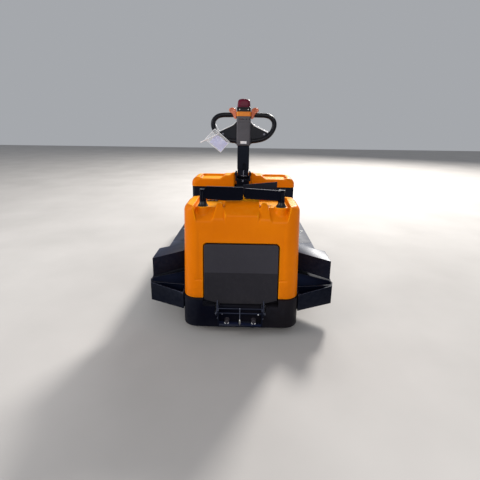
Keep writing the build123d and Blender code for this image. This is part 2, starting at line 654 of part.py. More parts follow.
# ---------------------------------------------------------------------------
# tiller: turning base with clevis, column, head, two loops, knobs, button
# ---------------------------------------------------------------------------
with BuildPart() as tiller_base:
    for z0, z1, r in ((600.0, 703.0, 24.7), (702.0, 880.0, TURRET_R)):
        with BuildSketch(Plane.XY.offset(z0)):
            with Locations((0, F + TIL_S)):
                Circle(r)
        extrude(amount=z1 - z0)
    with BuildSketch(Plane.XY.offset(878)):
        with Locations((0, F + TIL_S)):
            RectangleRounded(104, 62, 14)
    extrude(amount=20)
    for x0 in (-52.0, 38.0):
        with BuildSketch(Plane.YZ.offset(x0)):
            with Locations((F + TIL_S, TIL_Z)):
                Circle(27)
            with Locations((F + TIL_S, TIL_Z - 20)):
                Rectangle(54, 40)
        extrude(amount=14)
    with BuildSketch(Plane.YZ.offset(-56)):
        with Locations((F + TIL_S, TIL_Z)):
            Circle(8)
    extrude(amount=112)
tiller_base.part.label = "tiller_base"
export_step(tiller_base.part, "parts/tiller_base.step")

with BuildPart() as tiller_column:
    with BuildSketch(Plane.YZ.offset(-37)):
        with Locations((F + TIL_S, TIL_Z)):
            Circle(24)
        with Locations((F + TIL_S, TIL_Z + 20)):
            Rectangle(48, 40)
    extrude(amount=74)
    with BuildSketch(Plane.XY.offset(966)):
        with Locations((0, F + TIL_S)):
            RectangleRounded(77, 54, 8)
    extrude(amount=1116 - 966)
    with BuildSketch(Plane.YZ.offset(-38)):
        with Locations((F + TIL_S, TIL_Z)):
            Circle(8.08)
    extrude(amount=76, mode=Mode.SUBTRACT)
    # slot in the operator's face of the column
    with BuildSketch(Plane.XZ.offset(-F - TIL_S + 8)):
        with Locations((4, 1010)):
            SlotOverall(84, 24, rotation=90)
    extrude(amount=30, mode=Mode.SUBTRACT)
tiller_column.part.label = "tiller_column"
export_step(tiller_column.part, "parts/tiller_column.step")

HEAD_LOW, HEAD_TOP = 1116.0, 1356.0
with BuildPart() as tiller_head:
    with BuildSketch(Plane.XY.offset(HEAD_LOW)):
        with Locations((0, F + TIL_S - 3)):
            RectangleRounded(92, 66, 10)
    extrude(amount=HEAD_TOP - HEAD_LOW)
    # top edge on the operator's side slanted off
    with BuildSketch(Plane.YZ.offset(-60)):
        with BuildLine():
            Polyline((F + TIL_S - 40, HEAD_TOP - 18), (F + TIL_S - 40, HEAD_TOP + 4),
                     (F + TIL_S - 18, HEAD_TOP + 4), close=True)
        make_face()
    extrude(amount=120, mode=Mode.SUBTRACT)
tiller_head.part.label = "tiller_head"
export_step(tiller_head.part, "parts/tiller_head.step")

loop_path = ((46, 1307), (172, 1307), (203, 1238), (148, 1161), (46, 1141))
gusset = ((46, 1266), (80, 1237), (153, 1203), (178, 1200), (142, 1163), (46, 1141))
for side, tag in ((-1, "left"), (1, "right")):
    with BuildPart() as loop:
        with BuildLine(Plane.XZ.offset(-F - TIL_S)) as lp:
            FilletPolyline(*[(side * x, z) for x, z in loop_path], radius=40)
        with BuildSketch(Plane.YZ.offset(side * 46)):
            with Locations((F + TIL_S, 1307)):
                Circle(15.5)
        sweep(path=lp.wires()[0])
        with BuildSketch(Plane.XZ.offset(-F - TIL_S - 5)):
            with BuildLine():
                Polyline(*[(side * x, z) for x, z in gusset], close=True)
            make_face()
        extrude(amount=10)
        # trimmed to the side of the head
        with BuildSketch(Plane.XZ.offset(-F - TIL_S - 40)):
            with Locations((0, 1230)):
                Rectangle(92, 300)
        extrude(amount=80, mode=Mode.SUBTRACT)
    loop.part.label = "handle_loop_" + tag
    export_step(loop.part, "parts/handle_loop_" + tag + ".step")

with BuildPart() as throttle_knobs:
    with BuildSketch(Plane.XZ.offset(-F - TIL_S + 20)):
        for side in (-1, 1):
            with BuildLine():
                Polyline(*[(side * x, z) for x, z in
                           ((46, 1284), (56, 1280), (66, 1293), (80, 1318), (95, 1328), (92, 1348), (62, 1352), (46, 1335))],
                         close=True)
            make_face()
    extrude(amount=26)
throttle_knobs.part.label = "throttle_knobs"
export_step(throttle_knobs.part, "parts/throttle_knobs.step")

with BuildPart() as emergency_button:
    with BuildSketch(Plane.XY.offset(HEAD_TOP)):
        with Locations((0, F + TIL_S + 4)):
            RectangleRounded(80, 50, 18)
    extrude(amount=57)
    fillet(emergency_button.faces().sort_by(Axis.Z)[-1].edges(), 14)
emergency_button.part.label = "emergency_button"
export_step(emergency_button.part, "parts/emergency_button.step")

with BuildPart() as document_pouch:
    with BuildSketch(Plane.XZ.offset(-F - TIL_S + 19)):
        with BuildLine():
            Polyline((-184, 1220), (-90, 1139), (-148, 1071), (-249, 1153), close=True)
        make_face()
    extrude(amount=3)
    with BuildSketch(Plane.XZ.offset(-F - TIL_S + 17.3)):
        with Locations((-172, 1194)):
            Circle(6)
    extrude(amount=4)
document_pouch.part.label = "document_pouch"
export_step(document_pouch.part, "parts/document_pouch.step")

# ---------------------------------------------------------------------------
# drive unit: fork with turntable, motor, wheel
# ---------------------------------------------------------------------------
drive_z = DRIVE_R
with BuildPart() as drive_fork:
    for z0, z1, r in ((232.0, 266.0, 77.7), (264.0, 272.0, 92.0)):
        with BuildSketch(Plane.XY.offset(z0)):
            with Locations((0, F + DRIVE_S)):
                Circle(r)
        extrude(amount=z1 - z0)
    for x0 in (-54.0, 44.0):
        with BuildSketch(Plane.YZ.offset(x0)):
            with BuildLine():
                Polyline((F + DRIVE_S - 45, 233), (F + DRIVE_S + 45, 233), (F + DRIVE_S + 30, 84),
                         (F + DRIVE_S - 30, 84), close=True)
            make_face()
        extrude(amount=10)
    with BuildSketch(Plane.YZ.offset(-58)):
        with Locations((F + DRIVE_S, drive_z)):
            Circle(AXLE_R)
    extrude(amount=116)
drive_fork.part.label = "drive_fork"
export_step(drive_fork.part, "parts/drive_fork.step")

with BuildPart() as drive_motor:
    with BuildSketch(Plane.XY.offset(272)):
        with Locations((0, F + DRIVE_S)):
            Circle(66)
    extrude(amount=190)
drive_motor.part.label = "drive_motor"
export_step(drive_motor.part, "parts/drive_motor.step")

# wheels: table of node names, centre X, station, Z, bore, rim, outer radius, width
wheel_table = (
    # hub node, tyre node, x, station, z, bore, rim, outer, width
    ("drive_wheel_hub", "drive_tyre", 0.0, DRIVE_S, DRIVE_R, AXLE_R + 0.3, 82.0, DRIVE_R, DRIVE_W),
    ("load_wheel_left", "load_tyre_left", -LOAD_X, LOAD_S, LOAD_R, AXLE_R + 0.3, 92.0, LOAD_R, LOAD_W),
    ("load_wheel_right", "load_tyre_right", LOAD_X, LOAD_S, LOAD_R, AXLE_R + 0.3, 92.0, LOAD_R, LOAD_W),
)
for hub_name, tyre_name, wx, ws, wz, bore, rim, outer, width in wheel_table:
    with BuildPart() as hub:
        with BuildSketch(Plane.YZ.offset(wx - width / 2)):
            with Locations((F + ws, wz)):
                Circle(rim)
                Circle(bore, mode=Mode.SUBTRACT)
        extrude(amount=width)
        for x0 in (wx - width / 2, wx + width / 2 - 14):
            with BuildSketch(Plane.YZ.offset(x0)):
                with Locations((F + ws, wz)):
                    Circle(rim - 14)
                    Circle(bore + 14, mode=Mode.SUBTRACT)
            extrude(amount=14, mode=Mode.SUBTRACT)
    hub.part.label = hub_name
    export_step(hub.part, "parts/" + hub_name + ".step")
    with BuildPart() as tyre:
        with BuildSketch(Plane.YZ.offset(wx - width / 2)):
            with Locations((F + ws, wz)):
                Circle(outer)
        extrude(amount=width)
        fillet(tyre.edges().filter_by(GeomType.CIRCLE), 7)
        with BuildSketch(Plane.YZ.offset(wx - width / 2)):
            with Locations((F + ws, wz)):
                Circle(rim)
        extrude(amount=width, mode=Mode.SUBTRACT)
    tyre.part.label = tyre_name
    export_step(tyre.part, "parts/" + tyre_name + ".step")

# ---------------------------------------------------------------------------
# stabiliser casters
# ---------------------------------------------------------------------------
for side, tag in ((-1, "left"), (1, "right")):
    cx, cy = side * CAST_X, F + CAST_S
    with BuildPart() as fork:
        with BuildSketch(Plane.XY.offset(204)):
            with Locations((cx, cy)):
                Circle(38)
        extrude(amount=8)
        with BuildSketch(Plane.XY.offset(212)):
            with Locations((cx, cy)):
                Circle(15)
        extrude(amount=44)
        for x0 in (cx - 29.5, cx + 23.5):
            with BuildSketch(Plane.YZ.offset(x0)):
                with BuildLine():
                    Polyline((cy - 22, 205), (cy + 22, 205), (cy + TRAIL + 14, 70),
                             (cy + TRAIL + 14, 38), (cy + TRAIL - 14, 38), (cy + TRAIL - 20, 70), close=True)
                make_face()
            extrude(amount=6)
        with BuildSketch(Plane.YZ.offset(cx - 32)):
            with Locations((cy + TRAIL, CAST_R)):
                Circle(6)
        extrude(amount=64)
    fork.part.label = "caster_fork_" + tag
    export_step(fork.part, "parts/caster_fork_" + tag + ".step")
    with BuildPart() as wheel:
        with BuildSketch(Plane.YZ.offset(cx - CAST_W / 2)):
            with Locations((cy + TRAIL, CAST_R)):
                Circle(CAST_R)
        extrude(amount=CAST_W)
        fillet(wheel.edges().filter_by(GeomType.CIRCLE), 4)
        with BuildSketch(Plane.YZ.offset(cx - CAST_W / 2)):
            with Locations((cy + TRAIL, CAST_R)):
                Circle(6.3)
        extrude(amount=CAST_W, mode=Mode.SUBTRACT)
    wheel.part.label = "caster_wheel_" + tag
    export_step(wheel.part, "parts/caster_wheel_" + tag + ".step")

# ---------------------------------------------------------------------------
# load axle with its two hanger plates and wheel collars
# ---------------------------------------------------------------------------
with BuildPart() as load_axle:
    with BuildSketch(Plane.YZ.offset(-478)):
        with Locations((F + LOAD_S, LOAD_R)):
            Circle(AXLE_R)
    extrude(amount=956)
    for x0, wide, r in ((-478.0, 12.0, 27.0), (466.0, 12.0, 27.0), (-384.0, 61.0, 27.0), (323.0, 61.0, 27.0)):
        with BuildSketch(Plane.YZ.offset(x0)):
            with Locations((F + LOAD_S, LOAD_R)):
                Circle(r)
        extrude(amount=wide)
    for x0 in (-323.0, 303.0):
        with BuildSketch(Plane.YZ.offset(x0)):
            with BuildLine():
                Polyline((F + LOAD_S - 90, RAIL_LOW), (F + LOAD_S + 90, RAIL_LOW),
                         (F + LOAD_S + 40, 88), (F + LOAD_S - 40, 88), close=True)
            make_face()
        extrude(amount=20)
load_axle.part.label = "load_axle"
export_step(load_axle.part, "parts/load_axle.step")
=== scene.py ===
import math

import bmesh
import bpy
import numpy as np
from mathutils import Matrix, Vector


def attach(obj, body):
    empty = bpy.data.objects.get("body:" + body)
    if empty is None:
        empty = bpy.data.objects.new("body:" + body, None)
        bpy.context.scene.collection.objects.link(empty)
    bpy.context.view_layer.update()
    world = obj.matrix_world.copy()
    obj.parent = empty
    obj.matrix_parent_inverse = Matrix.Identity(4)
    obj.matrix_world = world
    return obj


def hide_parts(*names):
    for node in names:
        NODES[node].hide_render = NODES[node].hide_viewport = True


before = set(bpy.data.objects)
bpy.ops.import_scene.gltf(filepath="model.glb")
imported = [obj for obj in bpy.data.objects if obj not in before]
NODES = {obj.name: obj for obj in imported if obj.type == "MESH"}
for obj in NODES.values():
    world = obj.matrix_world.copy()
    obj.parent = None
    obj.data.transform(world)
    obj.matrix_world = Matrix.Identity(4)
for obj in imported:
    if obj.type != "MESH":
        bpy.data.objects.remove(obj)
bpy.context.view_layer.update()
F = -1.0705                     # Y of the hood's front face; stations are F + s
scene = bpy.context.scene


# ---------------------------------------------------------------------------
# colours and node helpers
# ---------------------------------------------------------------------------
def lin(r, g, b):
    """sRGB 0..255 to linear RGBA."""
    out = []
    for c in (r, g, b):
        c = c / 255.0
        out.append(c / 12.92 if c <= 0.04045 else ((c + 0.055) / 1.055) ** 2.4)
    return (*out, 1.0)


class Tree:
    """Short names for building a node material."""

    def __init__(self, name):
        self.mat = bpy.data.materials.new(name)
        self.mat.use_nodes = True
        self.nt = self.mat.node_tree
        self.nt.nodes.clear()
        self.out = self.nt.nodes.new("ShaderNodeOutputMaterial")
        self.bsdf = self.nt.nodes.new("ShaderNodeBsdfPrincipled")
        self.nt.links.new(self.bsdf.outputs[0], self.out.inputs[0])
        self.geo = self.nt.nodes.new("ShaderNodeNewGeometry")
        self.tc = self.nt.nodes.new("ShaderNodeTexCoord")
        self.pos = self.tc.outputs["Object"]

    def link(self, a, b):
        self.nt.links.new(a, b)

    def set(self, socket, value):
        if isinstance(value, bpy.types.NodeSocket):
            self.link(value, socket)
        else:
            socket.default_value = value

    def noise(self, scale, detail=4.0, rough=0.55, stretch=None, distort=0.0):
        n = self.nt.nodes.new("ShaderNodeTexNoise")
        n.inputs["Scale"].default_value = scale
        n.inputs["Detail"].default_value = detail
        n.inputs["Roughness"].default_value = rough
        n.inputs["Distortion"].default_value = distort
        if stretch:
            m = self.nt.nodes.new("ShaderNodeMapping")
            m.inputs["Scale"].default_value = stretch
            self.link(self.pos, m.inputs["Vector"])
            self.link(m.outputs[0], n.inputs["Vector"])
        else:
            self.link(self.pos, n.inputs["Vector"])
        return n.outputs[0]

    def voronoi(self, scale, feature="F1", stretch=None):
        n = self.nt.nodes.new("ShaderNodeTexVoronoi")
        n.feature = feature
        n.inputs["Scale"].default_value = scale
        if stretch:
            m = self.nt.nodes.new("ShaderNodeMapping")
            m.inputs["Scale"].default_value = stretch
            self.link(self.pos, m.inputs["Vector"])
            self.link(m.outputs[0], n.inputs["Vector"])
        else:
            self.link(self.pos, n.inputs["Vector"])
        return n.outputs[0]

    def ramp(self, fac, stops):
        n = self.nt.nodes.new("ShaderNodeValToRGB")
        while len(n.color_ramp.elements) > 1:
            n.color_ramp.elements.remove(n.color_ramp.elements[-1])
        for i, (p, c) in enumerate(stops):
            e = n.color_ramp.elements[0] if i == 0 else n.color_ramp.elements.new(p)
            e.position = p
            e.color = c if len(c) == 4 else (*c, 1.0)
        self.link(fac, n.inputs[0])
        return n.outputs[0]

    def grey(self, fac, a, va, b, vb):
        return self.ramp(fac, ((a, (va, va, va, 1)), (b, (vb, vb, vb, 1))))

    def mix(self, fac, a, b, mode="MIX"):
        n = self.nt.nodes.new("ShaderNodeMix")
        n.data_type = "RGBA"
        n.blend_type = mode
        self.set(n.inputs[0], fac)
        self.set(n.inputs[6], a)
        self.set(n.inputs[7], b)
        return n.outputs[2]

    def math(self, op, a, b=0.0, clamp=False):
        n = self.nt.nodes.new("ShaderNodeMath")
        n.operation = op
        n.use_clamp = clamp
        self.set(n.inputs[0], a)
        self.set(n.inputs[1], b)
        return n.outputs[0]

    def axis(self, which, source=None):
        n = self.nt.nodes.new("ShaderNodeSeparateXYZ")
        self.link(source if source is not None else self.pos, n.inputs[0])
        return n.outputs["XYZ".index(which)]

    def up(self, lo=0.55, hi=0.95):
        """1 on faces that look up."""
        n = self.nt.nodes.new("ShaderNodeMapRange")
        n.inputs["From Min"].default_value = lo
        n.inputs["From Max"].default_value = hi
        self.link(self.axis("Z", self.geo.outputs["Normal"]), n.inputs[0])
        return n.outputs[0]

    def range(self, value, a, b, va=0.0, vb=1.0):
        n = self.nt.nodes.new("ShaderNodeMapRange")
        n.inputs["From Min"].default_value = a
        n.inputs["From Max"].default_value = b
        n.inputs["To Min"].default_value = va
        n.inputs["To Max"].default_value = vb
        self.link(value, n.inputs[0])
        return n.outputs[0]

    def bump(self, height, strength=0.3, distance=0.001, after=None):
        n = self.nt.nodes.new("ShaderNodeBump")
        n.inputs["Strength"].default_value = strength
        n.inputs["Distance"].default_value = distance
        self.link(height, n.inputs["Height"])
        if after is not None:
            self.link(after, n.inputs["Normal"])
        self.last_bump = n.outputs[0]
        self.link(n.outputs[0], self.bsdf.inputs["Normal"])
        return n.outputs[0]

    def color(self, v):
        self.set(self.bsdf.inputs["Base Color"], v)

    def rough(self, v):
        self.set(self.bsdf.inputs["Roughness"], v)

    def metal(self, v):
        self.bsdf.inputs["Metallic"].default_value = v

    def const(self, name, v):
        self.bsdf.inputs[name].default_value = v


def plastic_orange():
    t = Tree("orange_plastic")
    broad = t.noise(2.2, 3, 0.5)
    mid = t.noise(14, 5, 0.6)
    base = t.ramp(broad, ((0.30, lin(214, 110, 0)), (0.55, lin(221, 116, 0)), (0.75, lin(228, 123, 0))))
    base = t.mix(t.grey(mid, 0.42, 0.0, 0.72, 0.20), base, lin(203, 100, 0))
    # thinner, lighter skin on convex edges, painted sunlight as a brighter yellow on faces that look up, dust on what
    # looks up, a dirty hem near the skirt
    edge = t.range(t.geo.outputs["Pointiness"], 0.512, 0.560, 0.0, 0.55)
    base = t.mix(edge, base, lin(250, 168, 10))
    # painted sunlight: faces that look up turn a brighter yellow
    base = t.mix(t.math("MULTIPLY", t.up(0.905, 0.985), 0.68), base, lin(255, 171, 7))
    dust = t.math("MULTIPLY", t.up(0.6, 1.0), t.grey(t.noise(38, 6, 0.7), 0.42, 0.0, 0.72, 0.16))
    base = t.mix(dust, base, lin(244, 186, 60))
    low = t.math("MULTIPLY", t.range(t.axis("Z"), 0.33, 0.22), t.grey(t.noise(22, 6, 0.75), 0.40, 0.0, 0.66, 0.30))
    base = t.mix(low, base, lin(122, 66, 18))
    # hairline scuffs and a few rubbed spots
    scuff = t.grey(t.noise(60, 8, 0.8, stretch=(1.0, 1.0, 9.0)), 0.68, 0.0, 0.78, 0.20)
    base = t.mix(scuff, base, lin(232, 140, 40))
    patch = t.grey(t.noise(5.5, 9, 0.82, distort=0.6), 0.63, 0.0, 0.70, 0.22)
    base = t.mix(patch, base, lin(184, 92, 10))
    t.color(base)
    r = t.range(t.noise(9, 5, 0.6), 0.3, 0.7, 0.30, 0.40)
    r = t.math("ADD", r, t.math("MULTIPLY", dust, 0.6))
    t.rough(t.math("ADD", r, t.math("MULTIPLY", patch, 0.5), clamp=True))
    t.const("Specular IOR Level", 0.07)
    a = t.bump(t.noise(330, 2, 0.5), 0.06, 0.0003)
    t.bump(t.noise(11, 3, 0.5), 0.10, 0.0030, after=a)
    return t.mat


def steel_black(name, base_rgb, light_rgb, rough=(0.38, 0.55), dusty=0.5, grain=0.12, spec=0.25, dust_and_sheen_rgb=(88, 88, 92), wave=0.12, upright=0.0, hem=0.0, painted_pocket_light=False, painted_side_light=False):
    t = Tree(name)
    broad = t.noise(3.0, 4, 0.55)
    base = t.ramp(broad, ((0.32, lin(*base_rgb)), (0.72, lin(*light_rgb))))
    mott = t.grey(t.noise(46, 6, 0.7), 0.45, 0.0, 0.75, 0.25)
    base = t.mix(mott, base, lin(*(min(255, int(c * 1.25 + 3)) for c in light_rgb)))
    # paint worn on convex edges
    edge = t.math("MULTIPLY", t.range(t.geo.outputs["Pointiness"], 0.525, 0.600, 0.0, 0.9), t.grey(t.noise(40, 6, 0.7), 0.38, 0.25, 0.70, 0.6))
    base = t.mix(edge, base, lin(52, 55, 64))
    # dust on faces that look up; on the nose its bluish tone also paints a sky reflection on the top faces
    dust = t.math("MULTIPLY", t.up(0.5, 1.0), t.grey(t.noise(58, 8, 0.66, distort=0.2), 0.25, 0.55 * dusty, 0.80, dusty))
    base = t.mix(dust, base, lin(*dust_and_sheen_rgb))
    low = t.math("MULTIPLY", t.range(t.axis("Z"), 0.22, 0.03), t.grey(t.noise(110, 7, 0.70), 0.40, 0.06 * dusty, 0.80, dusty * 0.35))
    base = t.mix(low, base, lin(46, 44, 46))
    if hem:
        # painted light: a light line on sloped bevels as a painted highlight, a lighter low floor and lighter
        # undersides as painted light in shaded places
        painted_bevel_highlight = t.math("MULTIPLY", t.up(0.42, 0.62), t.up(0.97, 0.86))
        base = t.mix(t.math("MULTIPLY", painted_bevel_highlight, hem), base, lin(112, 117, 138))
        # painted light: low floors facing up are lightened where they sit in shade
        painted_floor_light = t.math("MULTIPLY", t.up(0.90, 0.98), t.range(t.axis("Z"), 0.175, 0.160))
        base = t.mix(t.math("MULTIPLY", painted_floor_light, 0.9), base, lin(34, 40, 66))
        # painted light: faces looking down are lightened where they sit in shade
        base = t.mix(t.math("MULTIPLY", t.up(-0.80, -0.95), 0.8), base, lin(40, 46, 76))
    if painted_pocket_light:
        # painted light: the sheltered walls, which sit in shade, are given a lighter blue
        base = t.mix(t.math("MULTIPLY", t.range(t.axis("Y"), -0.935, -0.905), t.up(0.30, 0.10)), base, lin(40, 50, 78))
    if painted_side_light:
        # painted light: one side, towards +X, lighter and warmer
        base = t.mix(t.math("MULTIPLY", t.range(t.axis("X"), -0.10, 0.26), t.grey(t.noise(9, 5, 0.6), 0.30, 0.70, 0.70, 1.0)), base, lin(29, 26, 29))
    scratch = t.grey(t.noise(34, 9, 0.85, stretch=(7.0, 1.0, 1.6)), 0.72, 0.0, 0.80, 0.20)
    base = t.mix(scratch, base, lin(48, 51, 58))
    t.color(base)
    r = t.range(t.noise(17, 5, 0.6), 0.3, 0.7, rough[0], rough[1])
    if upright:
        r = t.math("ADD", r, t.math("MULTIPLY", t.up(0.75, 0.35), upright), clamp=True)
    r = t.math("ADD", r, t.math("MULTIPLY", dust, 0.35), clamp=True)
    t.rough(r)
    t.const("Specular IOR Level", spec)
    t.const("Specular Tint", (0.74, 0.84, 1.0, 1.0))
    a = t.bump(t.noise(620, 2, 0.6), grain, 0.0005)
    t.bump(t.noise(7, 3, 0.5), wave, 0.004, after=a)
    return t.mat


def panel_steel():
    """Semi-matt panel whose upper field, above the crease, is painted lighter: painted light on the upper plane."""
    t = Tree("panel_steel")
    base = t.ramp(t.noise(3.0, 4, 0.55), ((0.32, lin(34, 33, 39)), (0.72, lin(40, 39, 45))))
    # painted light: the field above the crease is lighter
    painted_upper_light = t.range(t.axis("Z"), 0.3868, 0.3890)
    base = t.mix(painted_upper_light, base, t.ramp(t.noise(2.4, 5, 0.6), ((0.3, lin(48, 47, 54)), (0.7, lin(56, 55, 62)))))
    mott = t.grey(t.noise(60, 6, 0.7), 0.45, 0.0, 0.75, 0.14)
    base = t.mix(mott, base, lin(66, 65, 70))
    edge = t.range(t.geo.outputs["Pointiness"], 0.52, 0.60, 0.0, 0.5)
    base = t.mix(edge, base, lin(82, 82, 88))
    scuff = t.grey(t.noise(28, 9, 0.85, stretch=(5.0, 1.0, 1.4)), 0.69, 0.0, 0.78, 0.22)
    base = t.mix(scuff, base, lin(86, 84, 86))
    low = t.math("MULTIPLY", t.range(t.axis("Z"), 0.26, 0.19), t.grey(t.noise(40, 7, 0.72), 0.44, 0.0, 0.74, 0.25))
    base = t.mix(low, base, lin(70, 66, 62))
    t.color(base)
    t.rough(t.range(t.noise(17, 5, 0.6), 0.3, 0.7, 0.38, 0.50))
    t.const("Specular IOR Level", 0.12)
    a = t.bump(t.noise(620, 2, 0.6), 0.14, 0.0005)
    t.bump(t.noise(6, 3, 0.5), 0.10, 0.004, after=a)
    return t.mat


def painted_highlight_steel():
    """Near-white flange edge: a painted highlight."""
    t = Tree("painted_highlight_steel")
    base = t.ramp(t.noise(34, 5, 0.6), ((0.3, lin(226, 228, 233)), (0.7, lin(247, 248, 250))))
    base = t.mix(t.grey(t.noise(90, 6, 0.7), 0.58, 0.0, 0.78, 0.4), base, lin(120, 122, 130))
    t.color(base)
    t.metal(0.10)
    t.rough(t.range(t.noise(40, 4, 0.6), 0.3, 0.7, 0.22, 0.36))
    t.bump(t.noise(300, 3, 0.5), 0.12, 0.0004)
    return t.mat


def rimmed_steel():
    """Black steel whose upward edges carry a painted highlight."""
    t = Tree("rimmed_steel")
    base = t.ramp(t.noise(3.0, 4, 0.55), ((0.32, lin(3, 5, 15)), (0.72, lin(7, 9, 21))))
    base = t.mix(t.grey(t.noise(46, 6, 0.7), 0.45, 0.0, 0.75, 0.25), base, lin(14, 17, 30))
    # painted highlight on the faces that look up
    patch = t.math("MULTIPLY", t.up(0.86, 0.98), t.grey(t.noise(30, 6, 0.7), 0.30, 0.45, 0.62, 0.95))
    base = t.mix(patch, base, lin(86, 89, 101))
    edge = t.range(t.geo.outputs["Pointiness"], 0.54, 0.62, 0.0, 0.35)
    base = t.mix(edge, base, lin(60, 63, 74))
    t.color(base)
    t.rough(t.range(t.noise(17, 5, 0.6), 0.3, 0.7, 0.36, 0.48))
    t.const("Specular IOR Level", 0.04)
    a = t.bump(t.noise(620, 2, 0.6), 0.06, 0.0005)
    t.bump(t.noise(6, 3, 0.5), 0.10, 0.004, after=a)
    return t.mat


def bare_steel():
    t = Tree("bare_steel")
    base = t.ramp(t.noise(40, 6, 0.6, stretch=(1, 1, 6)), ((0.3, lin(150, 150, 148)), (0.7, lin(205, 205, 200))))
    base = t.mix(t.grey(t.noise(70, 7, 0.8), 0.58, 0.0, 0.76, 0.5), base, lin(96, 78, 60))
    t.color(base)
    t.metal(0.9)
    t.rough(t.range(t.noise(24, 5, 0.7), 0.3, 0.7, 0.22, 0.42))
    t.bump(t.noise(400, 3, 0.5), 0.15, 0.0004)
    return t.mat


def dark_iron():
    t = Tree("dark_iron")
    base = t.ramp(t.noise(16, 6, 0.65), ((0.3, lin(30, 30, 32)), (0.7, lin(58, 57, 56))))
    base = t.mix(t.grey(t.noise(30, 8, 0.75), 0.5, 0.0, 0.72, 0.5), base, lin(78, 58, 42))
    edge = t.range(t.geo.outputs["Pointiness"], 0.53, 0.60, 0.0, 0.7)
    base = t.mix(edge, base, lin(110, 108, 104))
    t.color(base)
    t.metal(0.35)
    t.rough(t.range(t.noise(12, 5, 0.6), 0.3, 0.7, 0.45, 0.75))
    t.const("Specular IOR Level", 0.4)
    t.bump(t.noise(240, 4, 0.6), 0.35, 0.0008)
    return t.mat


def rubber(name="rubber", rgb=(18, 18, 20), light=(32, 32, 32), rough=(0.55, 0.8), scale=260, strength=0.3, dusty=0.3):
    t = Tree(name)
    base = t.ramp(t.noise(12, 5, 0.6), ((0.3, lin(*rgb)), (0.7, lin(*light))))
    dust = t.math("MULTIPLY", t.up(0.3, 1.0), t.grey(t.noise(24, 6, 0.7), 0.4, 0.0, 0.7, dusty))
    base = t.mix(dust, base, lin(92, 88, 84))
    edge = t.range(t.geo.outputs["Pointiness"], 0.52, 0.60, 0.0, 0.4)
    base = t.mix(edge, base, lin(70, 70, 72))
    t.color(base)
    t.rough(t.range(t.noise(18, 5, 0.6), 0.3, 0.7, rough[0], rough[1]))
    t.const("Specular IOR Level", 0.3)
    t.bump(t.noise(scale, 4, 0.6), strength, 0.0006)
    return t.mat


def polyurethane(name="tyre_tan", rgb=(150, 112, 62), light=(178, 138, 82)):
    t = Tree(name)
    base = t.ramp(t.noise(10, 5, 0.6), ((0.3, lin(*rgb)), (0.7, lin(*light))))
    grime = t.grey(t.noise(26, 8, 0.75), 0.44, 0.0, 0.68, 0.85)
    base = t.mix(grime, base, lin(58, 50, 42))
    base = t.mix(t.grey(t.voronoi(90), 0.04, 0.6, 0.10, 0.0), base, lin(40, 36, 32))
    t.color(base)
    t.rough(t.range(grime, 0.0, 0.85, 0.42, 0.8))
    t.const("Specular IOR Level", 0.45)
    t.bump(t.noise(180, 5, 0.65), 0.35, 0.0008)
    return t.mat


def plastic_grain(name, rgb, light, rough=(0.42, 0.58), grain=0.25, scale=700, coat=0.0, spec=0.4, worn=None):
    t = Tree(name)
    base = t.ramp(t.noise(8, 4, 0.55), ((0.3, lin(*rgb)), (0.7, lin(*light))))
    worn = worn or tuple(min(255, int(c * 1.35 + 16)) for c in light)
    wear = t.grey(t.noise(50, 8, 0.78), 0.64, 0.0, 0.78, 0.25)
    base = t.mix(wear, base, lin(*worn))
    edge = t.range(t.geo.outputs["Pointiness"], 0.52, 0.59, 0.0, 0.55)
    base = t.mix(edge, base, lin(*worn))
    dust = t.math("MULTIPLY", t.up(0.4, 1.0), t.grey(t.noise(30, 6, 0.7), 0.42, 0.0, 0.70, 0.22))
    base = t.mix(dust, base, lin(120, 114, 110))
    t.color(base)
    t.rough(t.range(t.noise(15, 5, 0.6), 0.3, 0.7, rough[0], rough[1]))
    t.const("Coat Weight", coat)
    t.const("Coat Roughness", 0.12)
    t.const("Specular IOR Level", spec)
    t.bump(t.voronoi(scale), grain, 0.0004)
    return t.mat


def film():
    t = Tree("pouch_film")
    t.color(t.ramp(t.noise(18, 4, 0.6), ((0.3, lin(188, 190, 196)), (0.7, lin(226, 228, 232)))))
    t.rough(t.range(t.noise(30, 5, 0.6), 0.3, 0.7, 0.08, 0.20))
    t.const("Alpha", 0.34)
    t.const("Coat Weight", 0.5)
    t.const("Coat Roughness", 0.06)
    t.bump(t.noise(34, 4, 0.6), 0.7, 0.004)
    return t.mat


def paper():
    t = Tree("blank_paper")
    base = t.ramp(t.noise(30, 5, 0.6), ((0.3, lin(196, 198, 243)), (0.7, lin(214, 216, 250))))
    base = t.mix(t.grey(t.noise(6, 5, 0.6), 0.5, 0.0, 0.8, 0.25), base, lin(206, 206, 240))
    t.color(base)
    t.rough(t.range(t.noise(50, 4, 0.6), 0.3, 0.7, 0.7, 0.9))
    t.bump(t.noise(90, 4, 0.6), 0.25, 0.0008)
    return t.mat


def battery_case():
    t = Tree("battery_case")
    base = t.ramp(t.noise(12, 5, 0.6), ((0.3, lin(46, 50, 58)), (0.7, lin(68, 72, 80))))
    base = t.mix(t.grey(t.noise(44, 8, 0.75), 0.55, 0.0, 0.72, 0.5), base, lin(120, 118, 112))
    t.color(base)
    t.rough(t.range(t.noise(20, 5, 0.6), 0.3, 0.7, 0.42, 0.66))
    t.bump(t.noise(220, 3, 0.5), 0.2, 0.0006)
    return t.mat


